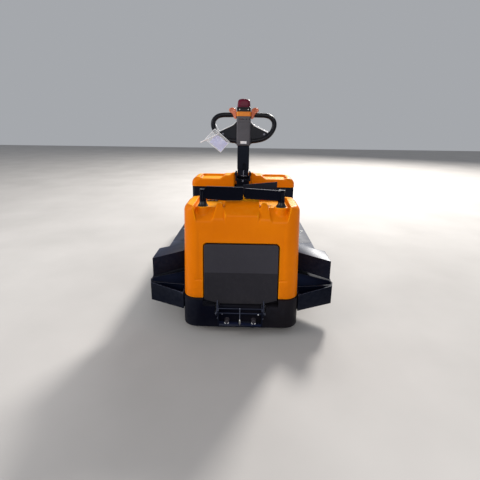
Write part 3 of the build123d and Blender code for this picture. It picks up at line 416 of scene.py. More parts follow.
M = {
    "orange": plastic_orange(),
    # hem paints light on these steels: a highlight on sloped bevels, lighter low floors and lighter undersides
    "black": steel_black("black_steel", (3, 5, 17), (7, 10, 25), rough=(0.40, 0.50), dusty=0.14, spec=0.06, dust_and_sheen_rgb=(48, 52, 66), hem=0.6),
    # outrigger steel: its shaded pocket walls get a painted lighter blue
    "outrigger": steel_black("outrigger_steel", (1, 3, 15), (4, 8, 24), rough=(0.44, 0.54), dusty=0.10, spec=0.04, dust_and_sheen_rgb=(44, 49, 66), hem=0.75, painted_pocket_light=True),
    "bracket": steel_black("bracket_steel", (3, 5, 16), (7, 10, 24), rough=(0.44, 0.56), dusty=0.10, spec=0.05, dust_and_sheen_rgb=(40, 43, 56), hem=0.22),
    "buffer": rubber("buffer_rubber", (40, 37, 45), (58, 54, 62), rough=(0.5, 0.7), scale=300, strength=0.15, dusty=0.25),
    "deck": steel_black("deck_steel", (38, 41, 55), (50, 54, 69), rough=(0.42, 0.54), dusty=0.26, grain=0.2, spec=0.09, dust_and_sheen_rgb=(92, 95, 106), hem=0.3),
    # nose steel: the bluish dust on its top faces is partly dust and partly a painted sky reflection
    "nose": steel_black("nose_steel", (0, 2, 20), (2, 7, 33), rough=(0.28, 0.35), dusty=0.40, spec=0.14, dust_and_sheen_rgb=(100, 108, 132), upright=0.62, hem=0.3),
    # skirt steel: one side is painted lighter and warmer, as painted light
    "skirt": steel_black("skirt_steel", (3, 4, 16), (8, 9, 21), rough=(0.38, 0.48), dusty=0.12, grain=0.05, spec=0.06, painted_side_light=True),
    "panel": panel_steel(),
    "arm": steel_black("arm_steel", (3, 5, 14), (7, 9, 20), rough=(0.32, 0.42), dusty=0.06, grain=0.06, spec=0.08, dust_and_sheen_rgb=(52, 55, 66)),
    # arm steel with a painted highlight on the faces that look up
    "rimmed": rimmed_steel(),
    "column": steel_black("column_steel", (13, 15, 24), (20, 23, 32), rough=(0.34, 0.44), dusty=0.08, grain=0.06, spec=0.08, dust_and_sheen_rgb=(52, 55, 66)),
    # near-white flange material: a painted highlight
    "lip": painted_highlight_steel(),
    "bare": bare_steel(),
    "iron": dark_iron(),
    "rubber": rubber(),
    "post": rubber("post_rubber", (7, 8, 14), (16, 17, 24), rough=(0.26, 0.42), scale=420, strength=0.10, dusty=0.15),
    "mat": rubber("mat_rubber", (26, 26, 27), (42, 41, 40), rough=(0.7, 0.9)),
    "tan": polyurethane(),
    "tyre": rubber("caster_tyre", (26, 25, 25), (48, 46, 44), rough=(0.6, 0.85)),
    "grey": plastic_grain("head_plastic", (58, 56, 62), (70, 68, 75), rough=(0.36, 0.5), spec=0.35),
    "grip": plastic_grain("grip_plastic", (3, 4, 11), (8, 10, 20), rough=(0.28, 0.38), grain=0.06, scale=900, spec=0.17, worn=(34, 37, 48)),
    "knob": plastic_grain("knob_plastic", (176, 92, 62), (206, 120, 92), rough=(0.30, 0.46), grain=0.08, coat=0.1, worn=(244, 196, 180)),
    "strip": plastic_grain("strip_plastic", (196, 110, 22), (216, 130, 36), rough=(0.36, 0.5), grain=0.06, spec=0.3, worn=(232, 158, 70)),
    "button": plastic_grain("button_plastic", (74, 10, 32), (98, 18, 44), rough=(0.30, 0.42), grain=0.03, coat=0.0, spec=0.12, worn=(112, 48, 72)),
    "film": film(),
    "tie": plastic_grain("tie_plastic", (206, 206, 210), (232, 232, 236), rough=(0.2, 0.34), grain=0.05, spec=0.5, worn=(245, 245, 248)),
    "paper": paper(),
    "plate": plastic_grain("plate_plastic", (196, 195, 200), (216, 215, 220), rough=(0.34, 0.5), grain=0.05, spec=0.3, worn=(226, 226, 230)),
    "dim": plastic_grain("dim_steel", (66, 70, 86), (92, 96, 112), rough=(0.30, 0.44), grain=0.05, spec=0.4, worn=(132, 136, 150)),
    "battery": battery_case(),
}


# ---------------------------------------------------------------------------
# meshes from signed distance functions
# ---------------------------------------------------------------------------
def rbox(X, Y, Z, c, b, r):
    qx = np.abs(X - c[0]) - (b[0] - r)
    qy = np.abs(Y - c[1]) - (b[1] - r)
    qz = np.abs(Z - c[2]) - (b[2] - r)
    out = np.sqrt(np.maximum(qx, 0) ** 2 + np.maximum(qy, 0) ** 2 + np.maximum(qz, 0) ** 2)
    return out + np.minimum(np.maximum(np.maximum(qx, qy), qz), 0) - r


def rect2(U, V, hu, hv, r):
    qu, qv = np.abs(U) - (hu - r), np.abs(V) - (hv - r)
    return np.sqrt(np.maximum(qu, 0) ** 2 + np.maximum(qv, 0) ** 2) + np.minimum(np.maximum(qu, qv), 0) - r


def poly2(U, V, pts):
    """Signed distance to a closed polygon, negative inside."""
    d = np.full(np.broadcast(U, V).shape, 1e9)
    s = np.ones(d.shape)
    n = len(pts)
    for i in range(n):
        ax_, ay_ = pts[i]
        bx_, by_ = pts[i - 1]
        ex, ey = bx_ - ax_, by_ - ay_
        wx, wy = U - ax_, V - ay_
        t = np.clip((wx * ex + wy * ey) / (ex * ex + ey * ey), 0, 1)
        d = np.minimum(d, (wx - ex * t) ** 2 + (wy - ey * t) ** 2)
        c1, c2, c3 = V >= ay_, V < by_, ex * wy > ey * wx
        flip = (c1 & c2 & c3) | (~c1 & ~c2 & ~c3)
        s = np.where(flip, -s, s)
    return s * np.sqrt(d)


def rmax(a, b, r):
    """Intersection with edges rounded to radius r."""
    return np.minimum(np.maximum(a, b), -r) + np.sqrt(np.maximum(a + r, 0) ** 2 + np.maximum(b + r, 0) ** 2)


def rmin(a, b, r):
    """Union with a concave fillet of radius r."""
    return np.maximum(np.minimum(a, b), r) - np.sqrt(np.maximum(r - a, 0) ** 2 + np.maximum(r - b, 0) ** 2)


def cut(a, b, r):
    """a with b taken out, rims rounded to r."""
    return rmax(a, -b, r)


def cyl(X, Y, Z, axis, c, rad, half, r=0.0):
    """Capped cylinder along an axis letter."""
    d = {"X": (Y - c[1], Z - c[2], X - c[0]), "Y": (X - c[0], Z - c[2], Y - c[1]), "Z": (X - c[0], Y - c[1], Z - c[2])}[axis]
    radial = np.sqrt(d[0] ** 2 + d[1] ** 2) - rad
    along = np.abs(d[2]) - half
    if r > 0:
        return rmax(radial, along, r)
    return np.maximum(radial, along)


def capsule(X, Y, Z, a, b, rad):
    a, b = np.array(a, float), np.array(b, float)
    e = b - a
    wx, wy, wz = X - a[0], Y - a[1], Z - a[2]
    t = np.clip((wx * e[0] + wy * e[1] + wz * e[2]) / (e @ e), 0, 1)
    return np.sqrt((wx - e[0] * t) ** 2 + (wy - e[1] * t) ** 2 + (wz - e[2] * t) ** 2) - rad


def net(name, f, lo, hi, h, project=3):
    """Surface net of f = 0, with vertices moved onto the surface. Coordinates are (X, s, Z); the mesh is shifted by F in Y."""
    lo = np.array(lo, float)
    n = np.ceil((np.array(hi, float) - lo) / h).astype(int) + 1
    ax = [lo[i] + h * np.arange(n[i]) for i in range(3)]
    X, Y, Z = np.meshgrid(*ax, indexing="ij", sparse=True)
    V = np.broadcast_to(f(X, Y, Z), tuple(n)).astype(np.float32)
    inside = V < 0
    count = np.zeros(tuple(n - 1), np.uint8)
    for dx in (0, 1):
        for dy in (0, 1):
            for dz in (0, 1):
                count += inside[dx:n[0] - 1 + dx, dy:n[1] - 1 + dy, dz:n[2] - 1 + dz]
    cell = (count > 0) & (count < 8)
    index = np.full(cell.shape, -1, np.int64)
    ids = np.argwhere(cell)
    index[cell] = np.arange(len(ids))
    acc = np.zeros((len(ids), 3))
    num = np.zeros(len(ids))
    quads = []
    for a in range(3):
        o = [(1, 2), (2, 0), (0, 1)][a]
        sl0 = [slice(None)] * 3
        sl1 = [slice(None)] * 3
        sl0[a], sl1[a] = slice(0, -1), slice(1, None)
        cross = inside[tuple(sl0)] != inside[tuple(sl1)]
        e = np.argwhere(cross)
        v0 = V[tuple(sl0)][cross]
        v1 = V[tuple(sl1)][cross]
        tt = v0 / (v0 - v1)
        p = lo + h * e.astype(float)
        p[:, a] += h * tt
        ring = []
        good = np.ones(len(e), bool)
        for du, dv in ((0, 0), (-1, 0), (-1, -1), (0, -1)):
            c = e.copy()
            c[:, o[0]] += du
            c[:, o[1]] += dv
            ok = np.all((c >= 0) & (c < np.array(cell.shape)), axis=1)
            good &= ok
            ci = np.full(len(e), -1, np.int64)
            ci[ok] = index[c[ok, 0], c[ok, 1], c[ok, 2]]
            np.add.at(acc, ci[ok], p[ok])
            np.add.at(num, ci[ok], 1)
            ring.append(ci)
        q = np.stack(ring, 1)[good]
        q[v0[good] > 0] = q[v0[good] > 0][:, ::-1]
        quads.append(q)
    P = acc / num[:, None]
    eps = h * 0.2
    for _ in range(project):
        d = f(P[:, 0], P[:, 1], P[:, 2])
        g = np.stack([
            f(P[:, 0] + eps, P[:, 1], P[:, 2]) - f(P[:, 0] - eps, P[:, 1], P[:, 2]),
            f(P[:, 0], P[:, 1] + eps, P[:, 2]) - f(P[:, 0], P[:, 1] - eps, P[:, 2]),
            f(P[:, 0], P[:, 1], P[:, 2] + eps) - f(P[:, 0], P[:, 1], P[:, 2] - eps)], 1) / (2 * eps)
        step = d[:, None] * g / np.maximum((g ** 2).sum(1), 0.25)[:, None]
        length = np.sqrt((step ** 2).sum(1))
        step *= np.minimum(1.0, 0.6 * h / np.maximum(length, 1e-9))[:, None]
        P = P - step
    P[:, 1] += F
    faces = np.concatenate(quads)
    me = bpy.data.meshes.new(name)
    me.from_pydata(P.tolist(), [], faces.tolist())
    me.update()
    ob = bpy.data.objects.new(name, me)
    scene.collection.objects.link(ob)
    for poly in me.polygons:
        poly.use_smooth = True
    return ob


def thin(ob, ratio):
    """Collapse an even mesh to a share of its faces."""
    m = ob.modifiers.new("thin", "DECIMATE")
    m.ratio = ratio
    apply_mods(ob)
    for poly in ob.data.polygons:
        poly.use_smooth = True
    return ob


def apply_mods(ob):
    dg = bpy.context.evaluated_depsgraph_get()
    new = bpy.data.meshes.new_from_object(ob.evaluated_get(dg))
    ob.modifiers.clear()
    ob.data = new
    return ob


# ---------------------------------------------------------------------------
# meshes from sections, tubes, bolts
# ---------------------------------------------------------------------------
def obj_from_bm(name, bm, smooth=True):
    me = bpy.data.meshes.new(name)
    bm.normal_update()
    bm.to_mesh(me)
    bm.free()
    ob = bpy.data.objects.new(name, me)
    scene.collection.objects.link(ob)
    if smooth:
        for p in me.polygons:
            p.use_smooth = True
    return ob


def bevelled(ob, width, segments=2, angle=32):
    m = ob.modifiers.new("bevel", "BEVEL")
    m.width = width
    m.segments = segments
    m.limit_method = "ANGLE"
    m.angle_limit = math.radians(angle)
    m.harden_normals = True
    return ob


def prism(name, pts, z0, z1, bevel=0.0015, plane="XY", segments=2):
    """Extruded polygon. plane XY: pts are (x, s) and z0..z1 are Z; XZ: pts (x, z), extruded along s; YZ: pts (s, z), extruded along X."""
    bm = bmesh.new()

    def at(u, v, w):
        if plane == "XY":
            return (u, F + v, w)
        if plane == "XZ":
            return (u, F + w, v)
        return (w, F + u, v)

    low = [bm.verts.new(at(u, v, z0)) for u, v in pts]
    high = [bm.verts.new(at(u, v, z1)) for u, v in pts]
    bm.faces.new(low)
    bm.faces.new(high[::-1])
    n = len(pts)
    for i in range(n):
        j = (i + 1) % n
        bm.faces.new((low[j], low[i], high[i], high[j]))
    bmesh.ops.recalc_face_normals(bm, faces=bm.faces)
    ob = obj_from_bm(name, bm)
    if bevel:
        bevelled(ob, bevel, segments)
        apply_mods(ob)
    return ob


def lathe(name, profile, centre, axis="Z", steps=40):
    """Turned piece. profile: (radius, height) pairs, closed on the axis where radius is 0. centre is (x, s, z)."""
    bm = bmesh.new()
    rings = []
    for r, hgt in profile:
        ring = []
        k = 1 if r < 1e-7 else steps
        for i in range(k):
            a = 2 * math.pi * i / steps
            u, v = r * math.cos(a), r * math.sin(a)
            if axis == "Z":
                p = (u, v, hgt)
            elif axis == "X":
                p = (hgt, u, v)
            else:
                p = (u, hgt, v)
            ring.append(bm.verts.new((centre[0] + p[0], F + centre[1] + p[1], centre[2] + p[2])))
        rings.append(ring)
    for a, b in zip(rings, rings[1:]):
        if len(a) == 1 and len(b) == 1:
            continue
        for i in range(steps):
            j = (i + 1) % steps
            if len(a) == 1:
                bm.faces.new((a[0], b[i], b[j]))
            elif len(b) == 1:
                bm.faces.new((a[i], a[j], b[0]))
            else:
                bm.faces.new((a[i], a[j], b[j], b[i]))
    bmesh.ops.recalc_face_normals(bm, faces=bm.faces)
    return obj_from_bm(name, bm)


def tube(name, pts, radius, sides=14, closed=False):
    """Round tube along points (x, s, z), capped."""
    P = [Vector((p[0], F + p[1], p[2])) for p in pts]
    bm = bmesh.new()
    rings = []
    n = len(P)
    normal = None
    for i, p in enumerate(P):
        d = ((P[(i + 1) % n] if (closed or i < n - 1) else P[i]) - (P[i - 1] if (closed or i > 0) else P[i])).normalized()
        if normal is None:
            normal = d.orthogonal().normalized()
        normal = (normal - d * normal.dot(d)).normalized()
        other = d.cross(normal)
        rings.append([bm.verts.new(p + radius * (math.cos(2 * math.pi * k / sides) * normal + math.sin(2 * math.pi * k / sides) * other)) for k in range(sides)])
    pairs = list(zip(rings, rings[1:])) + ([(rings[-1], rings[0])] if closed else [])
    for a, b in pairs:
        for k in range(sides):
            j = (k + 1) % sides
            bm.faces.new((a[k], a[j], b[j], b[k]))
    if not closed:
        bm.faces.new(rings[0][::-1])
        bm.faces.new(rings[-1])
    bmesh.ops.recalc_face_normals(bm, faces=bm.faces)
    return obj_from_bm(name, bm)


def bolt(name, centre, axis, r=0.006, h=0.004, washer=True, sign=1):
    """Hexagon bolt head with a chamfered crown, on a washer. sign is the direction that the head points along its axis."""
    bm = bmesh.new()

    def put(u, v, w):
        w *= sign
        p = {"X": (w, u, v), "Y": (u, w, v), "Z": (u, v, w)}[axis]
        return bm.verts.new((centre[0] + p[0], F + centre[1] + p[1], centre[2] + p[2]))

    def ringed(levels, steps, turn=0.0):
        rings = []
        for rad, w in levels:
            rings.append([put(rad * math.cos(2 * math.pi * k / steps + turn), rad * math.sin(2 * math.pi * k / steps + turn), w) for k in range(steps)])
        for a, b in zip(rings, rings[1:]):
            for k in range(steps):
                j = (k + 1) % steps
                bm.faces.new((a[k], a[j], b[j], b[k]))
        bm.faces.new(rings[0])
        bm.faces.new(rings[-1])

    if washer:
        ringed(((r * 1.75, 0.0), (r * 1.75, 0.0010), (r * 1.62, 0.0014)), 20)
    base = 0.0012 if washer else 0.0
    ringed(((r, base), (r, base + h * 0.82), (r * 0.86, base + h)), 6, 0.3)
    bmesh.ops.recalc_face_normals(bm, faces=bm.faces)
    return obj_from_bm(name, bm, smooth=False)


def join(name, obs):
    """One object from several. The first one's name is replaced."""
    bm = bmesh.new()
    smooth = []
    for o in obs:
        bm.from_mesh(o.data)
    me = bpy.data.meshes.new(name)
    bm.to_mesh(me)
    bm.free()
    ob = bpy.data.objects.new(name, me)
    scene.collection.objects.link(ob)
    for o in obs:
        bpy.data.objects.remove(o)
    return ob


def finish_piece(ob, mat, body, slot, *nodes):
    ob.data.materials.clear()
    ob.data.materials.append(M[mat])
    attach(ob, body)
    if nodes:
        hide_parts(*nodes)
    return ob


# ---------------------------------------------------------------------------
# CAD nodes that stay: material, small edge radius
# ---------------------------------------------------------------------------
KEPT = {
    # node: (material, bevel in metres)
    "drive_skirt": ("skirt", 0.0020), "drive_frame": ("iron", 0.0010), "side_rails": ("black", 0.0015),
    "deck_bearers": ("black", 0.0012), "deck_plate": ("deck", 0.0018), "deck_edges": ("black", 0.0015),
    "deck_noses": ("nose", 0.0040), "outriggers": ("outrigger", 0.0034), "bulkhead": ("black", 0.0020),
    "battery_box": ("black", 0.0020), "battery": ("battery", 0.0020), "battery_lid": ("orange", 0.0),
    "drive_hood": ("orange", 0.0), "platform_bracket": ("bracket", 0.0010), "bracket_buffers": ("rubber", 0.0),
    "return_strut": ("bare", 0.0), "foot_platform": ("panel", 0.0020), "platform_mat": ("mat", 0.0010),
    "guard_posts": ("post", 0.0), "guard_arm_left": ("arm", 0.0015), "guard_arm_right": ("arm", 0.0015),
    "guard_pad_left": ("rubber", 0.0030), "guard_pad_right": ("rubber", 0.0030), "document_plate": ("rimmed", 0.0010),
    "tiller_base": ("arm", 0.0015), "tiller_column": ("arm", 0.0015), "tiller_head": ("grey", 0.0020),
    "handle_loop_left": ("grip", 0.0), "handle_loop_right": ("grip", 0.0), "throttle_knobs": ("knob", 0.0030),
    "emergency_button": ("button", 0.0), "document_pouch": ("film", 0.0), "drive_fork": ("iron", 0.0015),
    "drive_motor": ("iron", 0.0020), "drive_wheel_hub": ("iron", 0.0015), "drive_tyre": ("tan", 0.0),
    "load_wheel_left": ("iron", 0.0015), "load_wheel_right": ("iron", 0.0015), "load_tyre_left": ("tan", 0.0),
    "load_tyre_right": ("tan", 0.0), "caster_fork_left": ("bare", 0.0010), "caster_fork_right": ("bare", 0.0010),
    "caster_wheel_left": ("tyre", 0.0), "caster_wheel_right": ("tyre", 0.0), "load_axle": ("iron", 0.0015),
}
for node, (mat, radius) in KEPT.items():
    ob = NODES[node]
    ob.data.materials.clear()
    ob.data.materials.append(M[mat])
    for p in ob.data.polygons:
        p.material_index = 0
        p.use_smooth = True
    w = ob.modifiers.new("weld", "WELD")
    w.merge_threshold = 0.00002
    if radius:
        bevelled(ob, radius, 2, 38)
    else:
        e = ob.modifiers.new("split", "EDGE_SPLIT")
        e.split_angle = math.radians(40)


# ---------------------------------------------------------------------------
# drive hood
# ---------------------------------------------------------------------------
def smooth(t, a, b):
    u = np.clip((t - a) / (b - a), 0, 1)
    return u * u * (3 - 2 * u)


def hood_section(X, S, Z, inset=0.0):
    """Rounded rectangle in plan that leans back with height."""
    front = -0.045 * (0.775 - Z) / 0.55 + inset
    yc, hy = (front + 0.310 - inset) / 2, (0.310 - inset - front) / 2
    hx = 0.350 - inset - 0.003 * (Z - 0.225) / 0.562
    V = S - yc
    r = np.where(V < 0, 0.085 - inset, 0.026 - inset / 2)
    return rect2(X, V, hx, hy, r)


def hood_top(X, S, Z):
    """Height of the hood's upper skin over (X, s). Its flanks spread with depth below the sunk floor."""
    ax = np.abs(X)
    low = np.clip(0.765 - Z, 0, 0.08)
    x_band = 0.1050 - 0.14 * low
    x_rib = 0.1560 + 0.26 * low
    x_out = 0.2735 - 0.12 * low
    floor = 0.768
    scoop = np.minimum(floor, 0.7035 + 1.02 * S)
    valley = np.minimum(floor, 0.7100 + 1.30 * (S + 0.003))
    crown = 0.011 * ((ax - (x_band + x_rib + 0.006) / 2) / 0.027) ** 2
    rib = np.minimum(0.7945 - crown, 0.7168 + 1.24 * (S + 0.001))
    rib = rib + (floor - rib) * smooth(S, 0.072, 0.106)
    slope = np.maximum(0.7352 + 0.60 * (S + 0.002), 0.7705 + 0.95 * (S - 0.057))
    band = np.minimum(0.8010 - 0.0025 * (ax / 0.1) ** 2, slope)
    shoulder = 0.7865 + 0.004 * smooth(S, 0.10, 0.28)
    H = valley + (scoop - valley) * smooth(ax, x_rib - 0.005, x_rib + 0.007)
    w = smooth(ax, x_band + 0.003, x_band + 0.014) * (1 - smooth(ax, x_rib - 0.009, x_rib + 0.006))
    H = H + (np.maximum(rib, H) - H) * w
    H = H + (band - H) * (1 - smooth(ax, x_band - 0.004, x_band + 0.004))
    H = H + (shoulder - H) * smooth(ax, x_out - 0.001, x_out + 0.013)
    back = smooth(S, 0.244, 0.262)
    return H + (np.maximum(shoulder, H) - H) * back


def hood_inside(X, S, Z):
    d = hood_section(X, S, Z, 0.009)
    d = np.maximum(d, (Z - np.minimum(0.754, 0.688 + S)) * 0.72)
    slot_ = np.maximum(rect2(X, Z - 0.27, 0.236, 0.306, 0.03), S - 0.042)
    return np.maximum(d, -slot_)


def hood_field(X, S, Z):
    ax = np.abs(X)
    d = hood_section(X, S, Z)
    face = 1 - smooth(S, 0.03, 0.08)
    # furrow that runs down between the middle band and each rib, and the ribs' feet
    xg = 0.1080 - 0.13 * np.clip(0.765 - Z, 0, 0.10)
    fade = smooth(Z, 0.674, 0.722) * face
    d = d + 0.0034 * np.exp(-((ax - xg) / 0.0042) ** 2) * fade
    foot = smooth(ax, 0.110, 0.117) * (1 - smooth(ax, 0.158, 0.168)) * smooth(Z, 0.709, 0.719) * face
    d = d - 0.0030 * foot
    # sunk field beside the foot platform, which ends in a small step
    sunk = (1 - smooth(ax, 0.246, 0.268)) * smooth(Z, 0.337, 0.345) * (1 - smooth(Z, 0.600, 0.690)) * face
    d = d + 0.0022 * sunk
    step = smooth(ax, 0.226, 0.232) * (1 - smooth(ax, 0.262, 0.286)) * np.exp(-((Z - 0.3405) / 0.0042) ** 2) * face
    d = d + 0.0040 * step
    edge = 0.0065 + 0.0215 * smooth(ax, 0.275, 0.315) + 0.010 * smooth(S, 0.20, 0.27)
    top = (Z - hood_top(X, S, Z)) * 0.70
    d = rmax(d, top, edge)
    # bosses under the guard posts
    radial = np.sqrt((ax - 0.2325) ** 2 + (S - 0.063) ** 2) - 0.0375 - 0.12 * np.clip(0.774 - Z, 0, 0.07)
    boss = np.maximum(rmax(radial, Z - 0.7745, 0.003), 0.69 - Z)
    d = rmin(d, boss, 0.0035)
    # recess for the foot platform
    recess = np.maximum(rect2(X, Z - 0.27, 0.2265, 0.297, 0.024), S - 0.033)
    d = cut(d, recess, 0.0050)
    d = rmax(d, 0.2265 - Z, 0.0045)
    return np.maximum(d, -hood_inside(X, S, Z))


def set_field_normals(ob, f):
    """Vertex normals straight from the field, so that large faces shade evenly."""
    me = ob.data
    n = len(me.vertices)
    P = np.empty(n * 3)
    me.vertices.foreach_get("co", P)
    P = P.reshape(n, 3)
    x, y, z = P[:, 0], P[:, 1] - F, P[:, 2]
    e = 0.0012
    g = np.stack([f(x + e, y, z) - f(x - e, y, z), f(x, y + e, z) - f(x, y - e, z), f(x, y, z + e) - f(x, y, z - e)], 1)
    g /= np.maximum(np.sqrt((g ** 2).sum(1))[:, None], 1e-9)
    own = np.empty(n * 3)
    me.vertices.foreach_get("normal", own)
    own = own.reshape(n, 3)
    bad = (g * own).sum(1) < 0.35
    g[bad] = own[bad]
    me.normals_split_custom_set_from_vertices(g.tolist())


def shaped(name, f, lo, hi, h, ratio=None, limit=0):
    ob = net(name, f, lo, hi, h)
    if ratio:
        thin(ob, ratio)
    set_field_normals(ob, f)
    return ob


hood = shaped("hood_shell", hood_field, (-0.358, -0.055, 0.219), (0.358, 0.318, 0.808), 0.0042, 0.42)
finish_piece(hood, "orange", "chassis", "orange_cover", "drive_hood")


# ---------------------------------------------------------------------------
# battery lid
# ---------------------------------------------------------------------------
def lid_field(X, S, Z):
    ax = np.abs(X)
    V = S - 0.515
    sec = rect2(X, V, 0.354, 0.1185, 0.034)
    # top skin: two steps up to the hump round the tiller, both falling off towards the hinges
    fall = 1 - 0.68 * np.clip((S - 0.400) / 0.22, 0, 1)
    T = 0.8978 + (0.0180 * (1 - smooth(ax, 0.067, 0.095)) + 0.0163 * (1 - smooth(ax, 0.119, 0.149))) * fall
    # front rim of each tray dips
    dip = 0.0085 * smooth(ax, 0.142, 0.160) * (1 - smooth(ax, 0.276, 0.304)) * (1 - smooth(S, 0.425, 0.470))
    T = T - dip - 0.0015 * smooth(S, 0.58, 0.635)
    edge = 0.0080 + 0.0340 * smooth(ax, 0.280, 0.330) + 0.012 * smooth(S, 0.58, 0.62)
    d = rmax(sec, (Z - T) * 0.93, edge)
    tray = rmax(rect2(ax - 0.2210, S - 0.510, 0.0740, 0.0840, 0.020), 0.8825 - Z, 0.006)
    tray = tray - 0.50 * np.clip(Z - 0.8825, 0, 0.03)
    d = cut(d, tray, 0.0040)
    under = np.maximum(rect2(X, V, 0.348, 0.1125, 0.028), Z - 0.852)
    d = np.maximum(d, -under)
    relief = np.sqrt(X ** 2 + (S - 0.355) ** 2) - 0.0735
    d = cut(d, relief, 0.004)
    # shallow groove all round above the lower hem
    hem = np.abs(Z - 0.8425) - 0.0009
    d = np.maximum(d, -np.maximum(hem, -(sec + 0.0012)))
    return np.maximum(d, 0.8345 - Z)


lid = shaped("battery_lid_shell", lid_field, (-0.362, 0.388, 0.828), (0.362, 0.642, 0.938), 0.0036, 0.55)
finish_piece(lid, "orange", "lid", "orange_cover", "battery_lid")
for k, hx in enumerate((-0.220, 0.220)):
    knuckle = lathe("lid_knuckle_%d" % k, [(0.0042, -0.0145), (0.0072, -0.0145), (0.0075, -0.013), (0.0075, 0.013), (0.0072, 0.0145), (0.0042, 0.0145)], (hx, 0.643, 0.838), "X", 28)
    leaf = prism("lid_leaf_%d" % k, [(0.6305, 0.8365), (0.6400, 0.8420), (0.6400, 0.8475), (0.6300, 0.8475)], hx - 0.0145, hx + 0.0145, 0.0008, "YZ")
    part = join("lid_hinge_%s" % ("left", "right")[k], [knuckle, leaf])
    finish_piece(part, "arm", "lid", "steel_bright")


# ---------------------------------------------------------------------------
# tiller head, button, strip, knobs, loops, pouch
# ---------------------------------------------------------------------------
TS = 0.355


def head_field(X, S, Z):
    d = rmax(rect2(X, S - (TS - 0.003), 0.0450, 0.0325, 0.010), np.abs(Z - 1.2080) - 0.0915, 0.004)
    # softened brow at the upper end and a shallow face panel on the operator's side
    brow = ((S - (TS - 0.0355)) * 0.75 - (Z - 1.2875) * 0.66) * -1.0
    d = rmax(d, -(0.0035 + ((S - (TS - 0.0355)) * 0.80 + (1.2995 - Z) * 0.60)) * 1.0, 0.004)
    panel = np.maximum(rect2(X, Z - 1.2010, 0.0365, 0.0620, 0.007), S - (TS - 0.0345))
    d = cut(d, panel, 0.0008)
    # parting line round the lower end
    groove = np.abs(Z - 1.1335) - 0.0010
    ring = np.maximum(groove, -(rect2(X, S - (TS - 0.003), 0.0436, 0.0311, 0.009)))
    return np.maximum(d, -ring)


head = shaped("tiller_head_shell", head_field, (-0.050, TS - 0.042, 1.112), (0.050, TS + 0.036, 1.304), 0.0019, 0.5)
finish_piece(head, "grey", "tiller", "plastic_grey", "tiller_head")

# dark collar between the grey head and the button
def collar_field(X, S, Z):
    d = rmax(rect2(X, S - (TS - 0.001), 0.0440, 0.0315, 0.012), np.abs(Z - 1.3265) - 0.0275, 0.004)
    lip = rmax(rect2(X, S - (TS - 0.001), 0.0455, 0.0330, 0.013), np.abs(Z - 1.3495) - 0.0030, 0.002)
    return np.minimum(d, lip)


collar = shaped("tiller_collar", collar_field, (-0.050, TS - 0.040, 1.294), (0.050, TS + 0.038, 1.358), 0.0021, 0.5)
finish_piece(collar, "grip", "tiller", "plastic_grey")


def strip_field(X, S, Z):
    d = rmax(rect2(X, S - (TS - 0.0015), 0.0462, 0.0340, 0.012), np.abs(Z - 1.3125) - 0.0142, 0.003)
    window = np.maximum(rect2(X, Z - 1.3125, 0.030, 0.0075, 0.003), S - (TS - 0.0345))
    return cut(d, window, 0.0008)


strip = shaped("head_strip", strip_field, (-0.051, TS - 0.041, 1.294), (0.051, TS + 0.038, 1.330), 0.0017, 0.5)
finish_piece(strip, "strip", "tiller", "plastic_knob")


def dome_field(X, S, Z):
    q = np.sqrt((X / 0.0425) ** 2 + ((S - (TS + 0.002)) / 0.0280) ** 2 + 1e-9)
    side = rect2(X, S - (TS + 0.002), 0.0420, 0.0270, 0.0200)
    crown = Z - (1.4065 - 0.010 * np.minimum(q, 1.3) ** 2.4)
    d = rmax(side + 0.10 * np.clip(Z - 1.356, 0, 0.05), crown * 0.96, 0.0110)
    d = np.maximum(d, 1.3525 - Z)
    ring = np.maximum(np.abs(Z - 1.3600) - 0.0012, -(side + 0.0016))
    return np.maximum(d, -ring)


dome = shaped("stop_button_dome", dome_field, (-0.047, TS - 0.030, 1.349), (0.047, TS + 0.034, 1.411), 0.0018, 0.5)
finish_piece(dome, "button", "tiller", "button_red", "emergency_button")

# thumb paddles
PADDLE = ((0.0455, 1.2840), (0.0560, 1.2800), (0.0640, 1.2900), (0.0690, 1.3060), (0.0800, 1.3180), (0.0925, 1.3260),
          (0.0960, 1.3370), (0.0900, 1.3480), (0.0760, 1.3530), (0.0600, 1.3500), (0.0480, 1.3400), (0.0455, 1.3200))
for side, tag in ((-1, "left"), (1, "right")):
    def paddle_field(X, S, Z, side=side):
        x = X * side
        d = poly2(x, Z, PADDLE)
        wide = 0.0100 + 0.0050 * smooth(Z, 1.300, 1.345)
        body = rmax(d + 0.0005, np.abs(S - (TS - 0.012)) - wide, 0.0065)
        dish = np.sqrt((x - 0.0740) ** 2 + (S - (TS - 0.0345)) ** 2 + (Z - 1.3370) ** 2) - 0.0150
        body = cut(body, dish, 0.003)
        stub = cyl(X * side, S, Z, "X", (0.047, TS - 0.008, 1.305), 0.0100, 0.010, 0.002)
        return rmin(body, stub, 0.003)

    lo_x, hi_x = (0.034, 0.101) if side > 0 else (-0.101, -0.034)
    paddle = shaped("thumb_paddle_" + tag, paddle_field, (lo_x, TS - 0.034, 1.276), (hi_x, TS + 0.008, 1.357), 0.0016, 0.5)
    finish_piece(paddle, "knob", "tiller", "plastic_knob", *(("throttle_knobs",) if side > 0 else ()))

# hand loops: a smooth D in tube, with a gusset plate that has a raised upper lip
def spline(points, per=10):
    """Catmull-Rom through the points."""
    out = []
    P = [points[0]] + list(points) + [points[-1]]
    for i in range(1, len(P) - 2):
        p0, p1, p2, p3 = (np.array(q, float) for q in P[i - 1:i + 3])
        for k in range(per):
            t = k / per
            out.append(tuple(0.5 * ((2 * p1) + (p2 - p0) * t + (2 * p0 - 5 * p1 + 4 * p2 - p3) * t * t + (3 * p1 - p0 - 3 * p2 + p3) * t ** 3)))
    out.append(tuple(P[-2]))
    return out


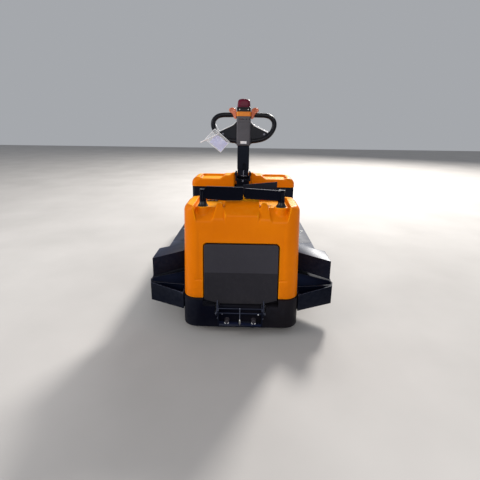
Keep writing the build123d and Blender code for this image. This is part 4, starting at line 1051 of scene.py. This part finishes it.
LOOP = ((0.040, 1.3075), (0.090, 1.3070), (0.140, 1.3050), (0.172, 1.2940), (0.193, 1.2700), (0.1965, 1.2400),
        (0.1850, 1.2080), (0.1610, 1.1790), (0.1280, 1.1590), (0.0850, 1.1480), (0.040, 1.1430))
GUSSET = ((0.0440, 1.2660), (0.0520, 1.2600), (0.0640, 1.2460), (0.0800, 1.2370), (0.1530, 1.2030), (0.1770, 1.2060),
          (0.1700, 1.1900), (0.1420, 1.1660), (0.1000, 1.1510), (0.0440, 1.1430))
LIP = ((0.0440, 1.2700), (0.0530, 1.2630), (0.0640, 1.2505), (0.0790, 1.2415), (0.1180, 1.2235), (0.1590, 1.2040))
for side, tag in ((-1, "left"), (1, "right")):
    path = spline([(x, 0.0, z) for x, z in LOOP], 8)
    ring = tube("loop_tube", [(side * x, TS, z) for x, s, z in path], 0.0152, 20)
    web = prism("loop_web", [(side * x, z) for x, z in GUSSET], TS - 0.006, TS + 0.006, 0.0015, "XZ")
    lip_path = spline([(x, 0.0, z) for x, z in LIP], 6)
    loop = join("hand_loop_" + tag, [ring, web])
    finish_piece(loop, "grip", "tiller", "plastic_grey", "handle_loop_" + tag)
    thick = 0.0034 if side < 0 else 0.0082
    upper = [(x, z + 0.0014) for x, s, z in lip_path]
    lower = [(x - 0.0016, z + 0.0014 - thick) for x, s, z in lip_path]
    # the flange's near-white material is a painted highlight; it is thicker on the right side
    flange = prism("loop_flange_" + tag, [(side * x, z) for x, z in upper + lower[::-1]], TS - 0.0125, TS + 0.0105, 0.0012, "XZ")
    finish_piece(flange, "lip", "tiller", "steel_bright")
    foot = []
    for k, z in enumerate((1.3075, 1.1440)):
        foot.append(lathe("cuff", [(0.0, 0.0), (0.0185, 0.0), (0.0195, 0.0015), (0.0195, 0.0085), (0.0175, 0.0105), (0.0, 0.0105)], (side * 0.0425 if side > 0 else -0.0530, TS, z), "X", 28))
    cuffs = join("loop_cuffs_" + tag, foot)
    finish_piece(cuffs, "grip", "tiller", "plastic_grey")
    screw = bolt("loop_screw_" + tag, (side * 0.1335, TS - 0.006, 1.1885), "Y", 0.0036, 0.0028, True, -1)
    finish_piece(screw, "dim", "tiller", "steel_bright")

# blank plate low on the head and small screws on the collar
def plaque_field(X, S, Z):
    return rmax(rect2(X - 0.0005, Z - 1.1365, 0.0195, 0.0078, 0.0015), np.abs(S - (TS - 0.0357)) - 0.0007, 0.0005)


plaque = prism("blank_plate", [(-0.019, 1.1285), (0.020, 1.1285), (0.020, 1.1445), (-0.019, 1.1445)], TS - 0.0364, TS - 0.0350, 0.0003, "XZ")
finish_piece(plaque, "plate", "tiller", "plastic_grey")
vents = [prism("head_vent", [(x - 0.0022, 1.2770), (x + 0.0022, 1.2770), (x + 0.0022, 1.2845), (x - 0.0022, 1.2845)], 0.3176, 0.3200, 0.0006, "XZ") for x in (-0.0240, -0.0090, 0.0180, 0.0350)]
finish_piece(join("head_vents", vents), "grip", "tiller", "plastic_grey")
# thin near-white arc on the inner side of the left loop: a painted highlight
arc = tube("loop_arc", [(-0.1800, TS - 0.0125, 1.2500), (-0.1740, TS - 0.0135, 1.2370), (-0.1670, TS - 0.0140, 1.2235), (-0.1590, TS - 0.0135, 1.2115), (-0.1505, TS - 0.0120, 1.2015)], 0.0019, 8)
finish_piece(arc, "lip", "tiller", "steel_bright")
for k, x in enumerate((-0.0260, 0.0280)):
    s_ = bolt("collar_screw_%d" % k, (x, TS - 0.0330, 1.3400), "Y", 0.0032, 0.0020, False, -1)
    finish_piece(s_, "bare", "tiller", "steel_bright")
for k, (x, mat) in enumerate(((-0.0150, "button"), (0.0, "grip"), (0.0160, "grip"))):
    lamp = lathe("head_lamp_%d" % k, [(0.0, -0.0030), (0.0022, -0.0028), (0.0032, -0.0016), (0.0034, 0.0), (0.0, 0.0)], (x, TS - 0.0335, 1.2790), "Y", 20)
    finish_piece(lamp, mat, "tiller", "plastic_grey")

# document pouch: two welded films, a blank card between them, and a tie round the loop
C4 = ((-0.1840, 1.2200), (-0.0900, 1.1390), (-0.1480, 1.0710), (-0.2490, 1.1530))


def quad_sheet(name, corners, s0, bulge, n=28, m=22, grow=1.0):
    """Film over four (x, z) corners with a soft bulge and a few creases."""
    c = [np.array(p) for p in corners]
    mid = sum(c) / 4
    c = [mid + (p - mid) * grow for p in c]
    bm = bmesh.new()
    rows = []
    for i in range(n + 1):
        row = []
        for j in range(m + 1):
            u, v = i / n, j / m
            p = c[0] * (1 - u) * (1 - v) + c[1] * u * (1 - v) + c[2] * u * v + c[3] * (1 - u) * v
            w = 16 * u * (1 - u) * v * (1 - v)
            off = bulge * w ** 0.6 + 0.0012 * math.sin(9 * u + 4 * v) * w ** 0.5 + 0.0007 * math.sin(23 * v - 7 * u)
            row.append(bm.verts.new((p[0], F + s0 - off, p[1])))
        rows.append(row)
    for i in range(n):
        for j in range(m):
            bm.faces.new((rows[i][j], rows[i + 1][j], rows[i + 1][j + 1], rows[i][j + 1]))
    bmesh.ops.recalc_face_normals(bm, faces=bm.faces)
    return obj_from_bm(name, bm)


front_film = quad_sheet("pouch_film_front", C4, TS - 0.0235, 0.0035)
back_film = quad_sheet("pouch_film_back", C4, TS - 0.0190, -0.0010)
card = quad_sheet("pouch_card", ((-0.1730, 1.1860), (-0.0990, 1.1290), (-0.1475, 1.0755), (-0.2190, 1.1370)), TS - 0.0218, 0.0014, 14, 12)
for ob_, mat_ in ((front_film, "film"), (back_film, "film"), (card, "paper")):
    finish_piece(ob_, mat_, "tiller", "pouch_film", *(("document_pouch",) if ob_ is front_film else ()))
# welded rim of the pouch and the strap that ties it to the loop
rim = []
for (xa, za), (xb, zb) in zip(C4, C4[1:] + C4[:1]):
    pts = [(xa + (xb - xa) * k / 12, TS - 0.0225 - 0.0004 * math.sin(k * 1.7), za + (zb - za) * k / 12) for k in range(13)]
    rim.append(tube("rim", pts, 0.0017, 6))
rim = join("pouch_rim", rim)
finish_piece(rim, "tie", "tiller", "pouch_film")
strap = tube("pouch_tie", [(-0.2790, TS - 0.0290, 1.1330), (-0.2500, TS - 0.0300, 1.1460), (-0.2200, TS - 0.0300, 1.1600), (-0.1900, TS - 0.0280, 1.1750),
                           (-0.1680, TS - 0.0240, 1.1860), (-0.1590, TS - 0.0200, 1.1960), (-0.1620, TS - 0.0160, 1.2060)], 0.0034, 10)
finish_piece(strap, "tie", "tiller", "pouch_film")


# ---------------------------------------------------------------------------
# guard posts, guard arms and their pads
# ---------------------------------------------------------------------------
POST_X, POST_S = 0.2325, 0.063
for side, tag in ((-1, "left"), (1, "right")):
    c = (side * POST_X, POST_S, 0.0)
    flare = lathe("post_foot_" + tag, [
        (0.0, 0.7738), (0.0305, 0.7738), (0.0315, 0.7748), (0.0315, 0.7785), (0.0300, 0.7802), (0.0272, 0.7825), (0.0245, 0.7870),
        (0.0222, 0.7925), (0.0206, 0.7975), (0.0200, 0.8002), (0.0200, 0.8018), (0.0192, 0.8024), (0.0, 0.8024)], c, "Z", 56)
    finish_piece(flare, "post", "chassis", "rubber_black", *(("guard_posts",) if side > 0 else ()))
    lug = lathe("post_ring", [
        (0.0, 0.8030), (0.0196, 0.8030), (0.0204, 0.8038), (0.0204, 0.8070), (0.0192, 0.8082), (0.0188, 0.8100), (0.0186, 0.8380), (0.0188, 0.8640),
        (0.0192, 0.8655), (0.0206, 0.8668), (0.0210, 0.8690), (0.0210, 0.8735), (0.0200, 0.8752), (0.0170, 0.8758), (0.0130, 0.8758), (0.0120, 0.8745),
        (0.0, 0.8745)], c, "Z", 56)
    # moulded ribs along the tube
    ribs = []
    for k in range(10):
        a = 2 * math.pi * (k + 0.5) / 10
        ribs.append(tube("rib_%d" % k, [(c[0] + 0.0180 * math.cos(a), c[1] + 0.0180 * math.sin(a), z) for z in (0.8110, 0.8630)], 0.0016, 6))
    out = {"left": ((0.006, 0.8330), (0.006, 0.8700), (0.0235, 0.8950), (0.2360, 0.8912), (0.2405, 0.8862), (0.2405, 0.8210), (0.2385, 0.8165),
                    (0.2300, 0.8125), (0.1850, 0.8090), (0.1300, 0.8090), (0.0260, 0.8170)),
           "right": ((0.006, 0.8200), (0.006, 0.8700), (0.0200, 0.8750), (0.2160, 0.8860), (0.2195, 0.8825), (0.2195, 0.8255), (0.2160, 0.8218),
                     (0.0220, 0.8115))}[tag]

    def arm_field(X, S, Z, out=out, side=side):
        u = POST_X - X * side
        d2 = poly2(u, Z, out)
        face = rmax(d2 + 0.002, np.abs(S - 0.0450) - 0.0036, 0.0016) - 0.0002
        # folded rim along the upper edge and a shallow pressed field
        rim = np.maximum(np.abs(d2 + 0.0022) - 0.0022, np.abs(S - 0.0478) - 0.0066)
        d = np.minimum(face, np.maximum(rim, 0.845 - Z))
        pressed = np.maximum(d2 + 0.0110, S - 0.0416)
        return cut(d, pressed, 0.0012)

    x0, x1 = sorted((side * (POST_X + 0.002), side * (POST_X - 0.246)))
    plate = shaped("arm_plate", arm_field, (x0, 0.0385, 0.804), (x1, 0.0565, 0.899), 0.0019, 0.42)
    web = prism("arm_web", [(side * (POST_X - 0.005), 0.0475), (side * (POST_X - 0.036), 0.0475), (side * (POST_X - 0.036), 0.0500), (side * (POST_X - 0.016), 0.0640),
                            (side * (POST_X - 0.005), 0.0640)], 0.8240, 0.8660, 0.0012, "XY")
    arm = join("guard_arm_%s_welded" % tag, [plate, lug, web] + ribs)
    finish_piece(arm, "rimmed", "guard_" + tag, "black_paint", "guard_arm_" + tag)

    pad_out = {"left": ((0.046, 0.8260), (0.046, 0.8850), (0.230, 0.8820), (0.230, 0.8360), (0.150, 0.8260)),
               "right": ((0.046, 0.8280), (0.046, 0.8675), (0.210, 0.8780), (0.210, 0.8370))}[tag]

    def pad_field(X, S, Z, out=pad_out, side=side):
        u = POST_X - X * side
        d2 = poly2(u, Z, out)
        plump = 0.0030 * np.clip(-d2 / 0.018, 0, 1) ** 0.6
        d = rmax(d2, np.abs(S - 0.0588) - 0.0072 - plump, 0.0068)
        seam = np.maximum(np.abs(S - 0.0588) - 0.0011, -(d + 0.0012))
        dimple = 1e9
        for cu, cz in ((0.095, 0.8555), (0.180, 0.8580)):
            dimple = np.minimum(dimple, np.sqrt((u - cu) ** 2 + (S - 0.0705) ** 2 + (Z - cz) ** 2) - 0.0042)
        d = cut(np.maximum(d, -seam), dimple, 0.0022)
        return d

    pad = shaped("guard_pad_%s_foam" % tag, pad_field, (x0, 0.0462, 0.820), (x1, 0.0722, 0.892), 0.0021, 0.5)
    finish_piece(pad, "rubber", "guard_" + tag, "rubber_black", "guard_pad_" + tag)

# low strip with its screws on the sunk floor under the left arm
base_ = prism("floor_strip_left", [(-0.2260, 0.222), (-0.1560, 0.222), (-0.1560, 0.238), (-0.2260, 0.238)], 0.7672, 0.7736, 0.0012, "XY")
finish_piece(base_, "arm", "chassis", "black_paint")
for k, x in enumerate((-0.2160, -0.1930, -0.1680)):
    b = bolt("floor_strip_screw_%d" % k, (x, 0.228, 0.7736), "Z", 0.0052, 0.0046, True)
    finish_piece(b, "bare", "chassis", "steel_bright")


# ---------------------------------------------------------------------------
# folding foot platform: pressed panel in its own leaning frame
# ---------------------------------------------------------------------------
LEAN = math.atan(45.0 / 550.0)
CL, SL = math.cos(LEAN), math.sin(LEAN)
OUTLINE = ((-0.2210, 0.3720), (0.2210, 0.3720), (0.2210, 0.0270), (0.1290, 0.0005), (-0.1290, 0.0005), (-0.2210, 0.0270))
CREASE_V = 0.1980


def panel_coords(X, S, Z):
    ds, dz = S + 0.050, Z - 0.190
    return X, ds * SL + dz * CL, ds * CL - dz * SL


def panel_field(X, S, Z):
    u, v, w = panel_coords(X, S, Z)
    outline = rmax(rect2(u, v - 0.100, 0.2210, 0.2720, 0.022), poly2(u, v, OUTLINE) * 1.0, 0.003)
    # outer face: two flat fields that meet in a crease
    skin = 0.0058 * np.clip((CREASE_V - v) / CREASE_V, 0, 1) ** 1.0
    d = rmax(outline, np.maximum(-(w - skin), w - 0.0300), 0.0036)
    hollow = np.maximum(outline + 0.0052, -(w - 0.0115))
    rib = np.minimum(np.abs(u) - 0.0030, np.abs(v - 0.190) - 0.0030)
    hollow = np.maximum(hollow, -rib)
    return np.maximum(d, -np.maximum(hollow, 0.0055 - w))


panel = shaped("foot_panel", panel_field, (-0.226, -0.060, 0.184), (0.226, 0.018, 0.566), 0.0032, 0.42)
lugs = []
for k, x0 in enumerate((-0.1440, 0.1360)):
    lug = prism("panel_lug_%d" % k, [(-0.0995, 0.1560), (-0.0975, 0.1440), (-0.0900, 0.1385), (-0.0800, 0.1400), (-0.0480, 0.1840), (-0.0230, 0.1910),
                                     (-0.0230, 0.2150), (-0.0420, 0.2150), (-0.0560, 0.1930)], x0, x0 + 0.008, 0.0012, "YZ")
    boss = lathe("panel_lug_boss_%d" % k, [(0.0, -0.006), (0.0122, -0.006), (0.0130, -0.0052), (0.0130, 0.0052), (0.0122, 0.006), (0.0, 0.006)],
                 (x0 + 0.004, -0.088, 0.150), "X", 32)
    lugs += [lug, boss]
finish_piece(join("panel_lugs", lugs), "bracket", "folding_platform", "black_paint")
panel = join("foot_panel_pressed", [panel])
finish_piece(panel, "panel", "folding_platform", "black_paint", "foot_platform")

# ribbed mat on its standing side
rows = []
bm = bmesh.new()
steps = 31
for i in range(steps):
    v0 = 0.010 + 0.352 * i / steps
    v1 = v0 + 0.352 / steps
    prof = ((v0, 0.0), (v0 + 0.0012, 0.0030), (v0 + 0.0050, 0.0030), (v0 + 0.0062, 0.0))
    rows += prof
rows = [(0.006, 0.0)] + rows + [(0.366, 0.0)]
left, right_ = [], []
for v, up_ in rows:
    w = 0.0322 + up_
    half = 0.2110 if v > 0.030 else 0.2110 - (0.030 - v) * 3.2
    for lst, x in ((left, -half), (right_, half)):
        lst.append(bm.verts.new((x, F - 0.050 + w * CL + v * SL, 0.190 - w * SL + v * CL)))
for a, b, c_, d_ in zip(left, left[1:], right_[1:], right_):
    bm.faces.new((a, b, c_, d_))
base_l, base_r = [], []
for v, up_ in (rows[0], rows[-1]):
    w = 0.0302
    half = 0.2110 if v > 0.030 else 0.2110 - (0.030 - v) * 3.2
    base_l.append(bm.verts.new((-half, F - 0.050 + w * CL + v * SL, 0.190 - w * SL + v * CL)))
    base_r.append(bm.verts.new((half, F - 0.050 + w * CL + v * SL, 0.190 - w * SL + v * CL)))
bm.faces.new((base_l[0], base_l[1], base_r[1], base_r[0]))
bm.faces.new(left + base_l[::-1])
bm.faces.new(right_ + base_r[::-1])
bm.faces.new((left[0], base_l[0], base_r[0], right_[0]))
bm.faces.new((left[-1], base_l[1], base_r[1], right_[-1]))
bmesh.ops.recalc_face_normals(bm, faces=bm.faces)
mat_ob = obj_from_bm("platform_mat_ribbed", bm, smooth=False)
finish_piece(mat_ob, "mat", "folding_platform", "rubber_black", "platform_mat")


# ---------------------------------------------------------------------------
# bracket of the foot platform: nuts, screws, buffers, strut
# ---------------------------------------------------------------------------
for side, tag in ((-1, "left"), (1, "right")):
    for k, (s, z, r) in enumerate(((-0.088, 0.150, 0.0066), (-0.092, 0.122, 0.0052))):
        b = bolt("rod_nut_%s_%d" % (tag, k), (side * (0.1445 if k == 0 else 0.1340), s, z), "X", r, 0.0036, k == 0, side)
        finish_piece(b, "dim", "chassis", "steel_bright")
    for k, (x, z) in enumerate(((0.1075, 0.1375),)):
        # the right screw is a lit copy, larger and in the near-white painted-highlight material; the left one is dim
        b = bolt("bracket_screw_%s_%d" % (tag, k), (side * x, -0.0925, 0.1500), "Y", 0.0042 if side > 0 else 0.0034, 0.0030, False, -1)
        finish_piece(b, "lip" if side > 0 else "dim", "chassis", "steel_bright")
    buf = lathe("buffer_" + tag, [
        (0.0, 0.0), (0.0150, 0.0), (0.0156, -0.0010), (0.0156, -0.0035), (0.0140, -0.0045), (0.0135, -0.0070), (0.0135, -0.0220), (0.0126, -0.0255),
        (0.0102, -0.0275), (0.0062, -0.0280), (0.0055, -0.0262), (0.0, -0.0260)], (side * 0.081, -0.0620, 0.0955), "Y", 40)
    finish_piece(buf, "buffer", "chassis", "rubber_black", *(("bracket_buffers",) if side > 0 else ()))
    # near-white ring round the buffer's lower half: a painted highlight
    ring = tube("buffer_rim_" + tag, [(side * 0.081 + 0.0124 * math.cos(math.radians(a)), -0.0620 - 0.0268, 0.0940 + 0.0124 * math.sin(math.radians(a))) for a in range(-172, -7, 11)], 0.0022, 8)
    finish_piece(ring, "lip", "chassis", "steel_bright")

lower = lathe("strut_body", [(0.0, 0.0842), (0.0030, 0.0842), (0.0034, 0.0855), (0.0034, 0.0935), (0.0052, 0.0945), (0.0055, 0.0960), (0.0055, 0.1150), (0.0050, 0.1175), (0.0030, 0.1198), (0.0024, 0.1235), (0.0, 0.1240)],
              (-0.002, -0.1045, 0.0), "Z", 28)
finish_piece(lower, "bare", "chassis", "steel_bright", "return_strut")
upper_ = lathe("strut_rod", [(0.0, 0.1236), (0.0022, 0.1236), (0.0024, 0.1245), (0.0024, 0.1900), (0.0030, 0.1906), (0.0032, 0.1915), (0.0032, 0.1940), (0.0026, 0.1954), (0.0, 0.1958)],
               (-0.002, -0.1045, 0.0), "Z", 24)
finish_piece(upper_, "dim", "chassis", "steel_bright")


# ---------------------------------------------------------------------------
# tiller foot: turning block with two cheeks, column with its slot, spring
# ---------------------------------------------------------------------------
TZ = 0.930


def foot_field(X, S, Z):
    ax, v = np.abs(X), S - TS
    neck = np.maximum(np.sqrt(X ** 2 + v ** 2) - 0.0385, np.maximum(Z - 0.850, 0.790 - Z))
    block = rmax(rect2(X, v, 0.0425, 0.0290, 0.010), np.maximum(Z - 0.8960, 0.8400 - Z), 0.0030)
    d = rmin(neck, block, 0.006)
    plate = np.minimum(np.sqrt(v ** 2 + (Z - TZ) ** 2) - 0.0205, np.maximum(np.abs(v) - 0.0205 - 0.20 * np.clip(0.930 - Z, 0, 0.04), np.maximum(Z - TZ, 0.885 - Z)))
    cheek = rmax(plate, np.abs(ax - 0.0448) - 0.0052, 0.0022)
    d = rmin(d, cheek, 0.004)
    web = np.maximum(np.maximum(ax - 0.0400, np.abs(v - 0.0278) - 0.0014), np.maximum(Z - 0.9170, 0.8850 - Z))
    d = np.minimum(d, web)
    cap = np.maximum(np.sqrt(v ** 2 + (Z - TZ) ** 2) - 0.0120, np.abs(ax - 0.0505) - 0.0040)
    return rmin(d, cap, 0.0012)


foot = shaped("tiller_foot", foot_field, (-0.0585, TS - 0.043, 0.786), (0.0585, TS + 0.043, 0.956), 0.0026, 0.45)
shaft = lathe("tiller_shaft", [(0.0, 0.6005), (0.0235, 0.6005), (0.0247, 0.6020), (0.0247, 0.7020), (0.0370, 0.7022), (0.0385, 0.7040), (0.0385, 0.7880), (0.0, 0.7880)], (0.0, TS, 0.0), "Z", 48)
foot = join("tiller_foot_welded", [foot, shaft])
finish_piece(foot, "arm", "tiller_turret", "steel_dark", "tiller_base")


def column_field(X, S, Z):
    v = S - TS
    body = rmax(rect2(X, v, 0.0385, 0.0270, 0.0075), 0.9640 - Z, 0.0035)
    eye = np.minimum(np.sqrt(v ** 2 + (Z - TZ) ** 2) - 0.0240, np.maximum(np.abs(v) - 0.0240, np.maximum(TZ - Z, Z - 0.972)))
    eye = rmax(eye, np.abs(X) - 0.0365, 0.0022)
    d = rmin(body, eye, 0.0020)
    slot_ = np.maximum(rect2(X - 0.0075, Z - 0.9715, 0.0102, 0.0285, 0.0100), v + 0.0105)
    d = cut(d, slot_, 0.0016)
    # a shallow seam where the head begins
    seam = np.maximum(np.abs(Z - 1.1120) - 0.0010, -(rect2(X, v, 0.0385, 0.0270, 0.0075) + 0.0012))
    return np.maximum(np.maximum(d, -seam), Z - 1.1160)


column = shaped("tiller_column_tube", column_field, (-0.042, TS - 0.030, 0.902), (0.042, TS + 0.030, 1.119), 0.0026, 0.40)
finish_piece(column, "column", "tiller", "black_paint", "tiller_column")
rod = tube("spring_rod", [(0.0045, TS - 0.0205, 0.9560), (0.0035, TS - 0.0235, 0.9430), (0.0027, TS - 0.0262, 0.9330), (0.0027, TS - 0.0268, 0.9200), (0.0027, TS - 0.0262, 0.9140)], 0.0021, 8)
bar = tube("spring_bar", [(-0.0130, TS - 0.0262, 0.9225), (-0.0090, TS - 0.0268, 0.9210), (0.0030, TS - 0.0270, 0.9205), (0.0220, TS - 0.0268, 0.9200), (0.0260, TS - 0.0262, 0.9185)], 0.0016, 8)
spring = join("column_spring", [rod, bar])
finish_piece(spring, "dim", "tiller", "steel_bright")
hook = lathe("spring_anchor", [(0.0, 0.0), (0.0050, 0.0), (0.0056, -0.0010), (0.0056, -0.0030), (0.0044, -0.0044), (0.0, -0.0050)], (-0.0005, TS - 0.0292, 0.8855), "Y", 20)
eyelet = tube("spring_eyelet", [(0.0020, TS - 0.0318, 0.8880), (0.0030, TS - 0.0318, 0.8920), (0.0034, TS - 0.0312, 0.8950)], 0.0020, 8)
hook = join("spring_hook", [hook, eyelet])
finish_piece(hook, "dim", "tiller_turret", "steel_bright")

# ---------------------------------------------------------------------------
# wheels
# ---------------------------------------------------------------------------
def wheel(hub_node, tyre_node, body, x, s, z, rim, outer, width, tyre_mat, bolts):
    h = width / 2
    tread = []
    crown = 0.0012
    for k in range(13):
        u = -1 + k / 6
        tread.append((outer - crown * u * u, u * (h - 0.0075)))
    prof = [(rim + 0.0002, -h + 0.0010), (outer - 0.0120, -h + 0.0004), (outer - 0.0085, -h + 0.0004), (outer - 0.0035, -h + 0.0022), (outer - 0.0014, -h + 0.0050)]
    prof += tread + [(outer - 0.0014, h - 0.0050), (outer - 0.0035, h - 0.0022), (outer - 0.0085, h - 0.0004), (outer - 0.0120, h - 0.0004), (rim + 0.0002, h - 0.0010)]
    prof += [(rim + 0.0002, -h + 0.0010)]
    tyre = lathe(tyre_node + "_moulded", prof, (x, s, z), "X", 72)
    finish_piece(tyre, tyre_mat, body, "tyre_tan", tyre_node)
    r0, r1, r2 = 0.0206, 0.0360, rim - 0.0125
    face = [(r0, -h), (r1 - 0.0020, -h), (r1, -h + 0.0020), (r1 + 0.0020, -h + 0.0120), (r1 + 0.0050, -h + 0.0140), (r2 - 0.0050, -h + 0.0140), (r2 - 0.0020, -h + 0.0120),
            (r2, -h + 0.0020), (r2 + 0.0020, -h + 0.0004), (rim - 0.0020, -h + 0.0004), (rim, -h + 0.0022)]
    back = [(r, -w) for r, w in face[::-1]]
    hub = lathe(hub_node + "_cast", face + back + [face[0]], (x, s, z), "X", 64)
    parts = [hub]
    for sgn in (-1, 1):
        for k in range(bolts):
            a = 2 * math.pi * (k + 0.5) / bolts
            rr = (r1 + r2) / 2
            parts.append(bolt("hub_bolt", (x + sgn * (h - 0.0142), s + rr * math.cos(a), z + rr * math.sin(a)), "X", 0.0052, 0.0050, True, sgn))
    hub = join(hub_node + "_bolted", parts)
    finish_piece(hub, "iron", body, "steel_dark", hub_node)


wheel("drive_wheel_hub", "drive_tyre", "drive_wheel", 0.0, 0.140, 0.110, 0.082, 0.110, 0.075, "tan", 6)
for side, tag in ((-1, "left"), (1, "right")):
    wheel("load_wheel_" + tag, "load_tyre_" + tag, "load_roller_" + tag, side * 0.425, 1.850, 0.125, 0.092, 0.125, 0.080, "tan", 5)
    cx, cs = side * 0.255, 0.174
    h = 0.018
    prof = [(0.0064, -h), (0.0150, -h), (0.0165, -h + 0.0014), (0.0172, -h + 0.0040), (0.0360, -h + 0.0040), (0.0368, -h + 0.0012), (0.0400, -h + 0.0002), (0.0450, -h + 0.0002),
            (0.0485, -h + 0.0020), (0.0498, -h + 0.0050), (0.0500, 0.0), (0.0498, h - 0.0050), (0.0485, h - 0.0020), (0.0450, h - 0.0002), (0.0400, h - 0.0002),
            (0.0368, h - 0.0012), (0.0360, h - 0.0040), (0.0172, h - 0.0040), (0.0165, h - 0.0014), (0.0150, h), (0.0064, h), (0.0064, -h)]
    roller = lathe("caster_wheel_%s_moulded" % tag, prof, (cx, cs, 0.050), "X", 56)
    finish_piece(roller, "tyre", "caster_roller_" + tag, "tyre_black", "caster_wheel_" + tag)
    nuts = [bolt("caster_nut", (cx + sgn * 0.0296, cs, 0.050), "X", 0.0075, 0.0050, True, sgn) for sgn in (-1, 1)]
    nuts += [bolt("caster_plate_bolt", (cx + 0.026 * math.cos(a), 0.140 + 0.026 * math.sin(a), 0.2040), "Z", 0.0042, 0.0030, False, -1) for a in (0.8, 2.4, 3.9, 5.5)]
    finish_piece(join("caster_nuts_" + tag, nuts), "bare", "caster_swivel_" + tag, "steel_bright")

# drive motor: end bell, cooling ribs, terminal studs
motor = lathe("motor_case", [(0.0, 0.2725), (0.0640, 0.2725), (0.0660, 0.2745), (0.0660, 0.2950), (0.0632, 0.2970), (0.0632, 0.4130), (0.0660, 0.4150), (0.0660, 0.4380),
                             (0.0640, 0.4410), (0.0560, 0.4430), (0.0420, 0.4530), (0.0400, 0.4600), (0.0, 0.4610)], (0.0, 0.140, 0.0), "Z", 64)
fins = []
for k in range(24):
    a = 2 * math.pi * k / 24
    c_, s_ = math.cos(a), math.sin(a)
    fins.append(tube("fin", [(0.0636 * c_, 0.140 + 0.0636 * s_, z) for z in (0.2990, 0.4110)], 0.0018, 6))
studs = [bolt("motor_stud", (0.030 * math.cos(a), 0.140 + 0.030 * math.sin(a), 0.4580), "Z", 0.0040, 0.0080, True, 1) for a in (0.4, 2.2)]
finish_piece(join("drive_motor_ribbed", [motor] + fins + studs), "iron", "drive_unit", "steel_dark", "drive_motor")

# ---------------------------------------------------------------------------
# screws, bolts and axle caps on the fixed plates
# ---------------------------------------------------------------------------
screws = []
for x in (-0.470, -0.160, 0.160, 0.470):
    for s in (0.70, 1.02, 1.34, 1.66, 1.98):
        screws.append(lathe("deck_screw", [(0.0, 0.0), (0.0090, 0.0), (0.0090, 0.0004), (0.0066, 0.0012), (0.0030, 0.0014), (0.0026, 0.0006), (0.0, 0.0006)], (x, s, 0.4330), "Z", 20))
finish_piece(join("deck_screws", screws), "bare", "chassis", "steel_bright")
side_ = []
for sgn in (-1, 1):
    for s in (0.90, 1.20, 1.50):
        side_.append(bolt("rail_bolt", (sgn * 0.3530, s, 0.262), "X", 0.0080, 0.0060, True, sgn))
finish_piece(join("rail_bolts", side_), "bare", "chassis", "steel_bright")
caps = [lathe("axle_cap", [(0.0, 0.4780), (0.0150, 0.4780), (0.0180, 0.4790), (0.0190, 0.4810), (0.0180, 0.4830), (0.0100, 0.4850), (0.0, 0.4855)] if sgn > 0 else
              [(0.0, -0.4780), (0.0150, -0.4780), (0.0180, -0.4790), (0.0190, -0.4810), (0.0180, -0.4830), (0.0100, -0.4850), (0.0, -0.4855)], (0.0, 1.850, 0.125), "X", 32) for sgn in (-1, 1)]
finish_piece(join("axle_caps", caps), "bare", "chassis", "steel_bright")


# ---------------------------------------------------------------------------
# camera, light, floor
# ---------------------------------------------------------------------------
PITCH, YAW, ROLL = math.radians(14.1), math.radians(1.1), math.radians(0.7)
heading = Vector((-math.sin(YAW), math.cos(YAW), 0))
right0 = Vector((math.cos(YAW), math.sin(YAW), 0))
forward = heading * math.cos(PITCH) - Vector((0, 0, 1)) * math.sin(PITCH)
up0 = heading * math.sin(PITCH) + Vector((0, 0, 1)) * math.cos(PITCH)
right = right0 * math.cos(ROLL) + up0 * math.sin(ROLL)
upward = up0 * math.cos(ROLL) - right0 * math.sin(ROLL)
cam_data = bpy.data.cameras.new("camera")
cam_data.sensor_width = 36.0
cam_data.lens = 335.0 / 480.0 * 36.0
cam_data.shift_y = -26.5 / 480.0
cam_data.clip_start, cam_data.clip_end = 0.05, 60.0
cam = bpy.data.objects.new("camera", cam_data)
scene.collection.objects.link(cam)
cam.matrix_world = Matrix((
    (right.x, upward.x, -forward.x, 0.026),
    (right.y, upward.y, -forward.y, F - 1.881),
    (right.z, upward.z, -forward.z, 1.218),
    (0, 0, 0, 1)))
scene.camera = cam

floor_mat = Tree("floor")
floor_mat.color(floor_mat.ramp(floor_mat.noise(1.3, 4, 0.5), ((0.3, lin(168, 166, 165)), (0.7, lin(178, 176, 175)))))
floor_mat.rough(0.9)
bpy.ops.mesh.primitive_plane_add(size=40, location=(0, 0, 0))
floor = bpy.context.object
floor.name = "floor"
floor.data.materials.append(floor_mat.mat)

world = bpy.data.worlds.new("world")
world.use_nodes = True
world.node_tree.nodes["Background"].inputs[0].default_value = (0.82, 0.85, 0.90, 1)
world.node_tree.nodes["Background"].inputs[1].default_value = 0.46
scene.world = world


def area(name, location, target, size, power, colour=(1, 1, 1)):
    d = bpy.data.lights.new(name, "AREA")
    d.shape = "DISK"
    d.size = size
    d.energy = power
    d.color = colour
    o = bpy.data.objects.new(name, d)
    scene.collection.objects.link(o)
    o.location = location
    o.rotation_mode = "QUATERNION"
    o.rotation_quaternion = (Vector(target) - Vector(location)).to_track_quat("-Z", "Y")
    return o


area("key", (4.42, 8.68, 7.38), (0.1, -0.5, 0.45), 2.0, 2200, (1.0, 0.955, 0.89))
glow = area("glow", (1.22, 4.90, 3.70), (0.45, -0.80, 0.43), 2.4, 165, (1.0, 0.98, 0.95))
glow.visible_camera = False
area("side", (-5.2, -2.4, 2.3), (-0.2, -0.8, 0.5), 2.2, 150, (1.0, 0.98, 0.95))
area("front", (0.6, -5.6, 2.8), (0, -0.9, 0.5), 3.4, 92, (1.0, 0.97, 0.94))

scene.view_settings.view_transform = "Standard"
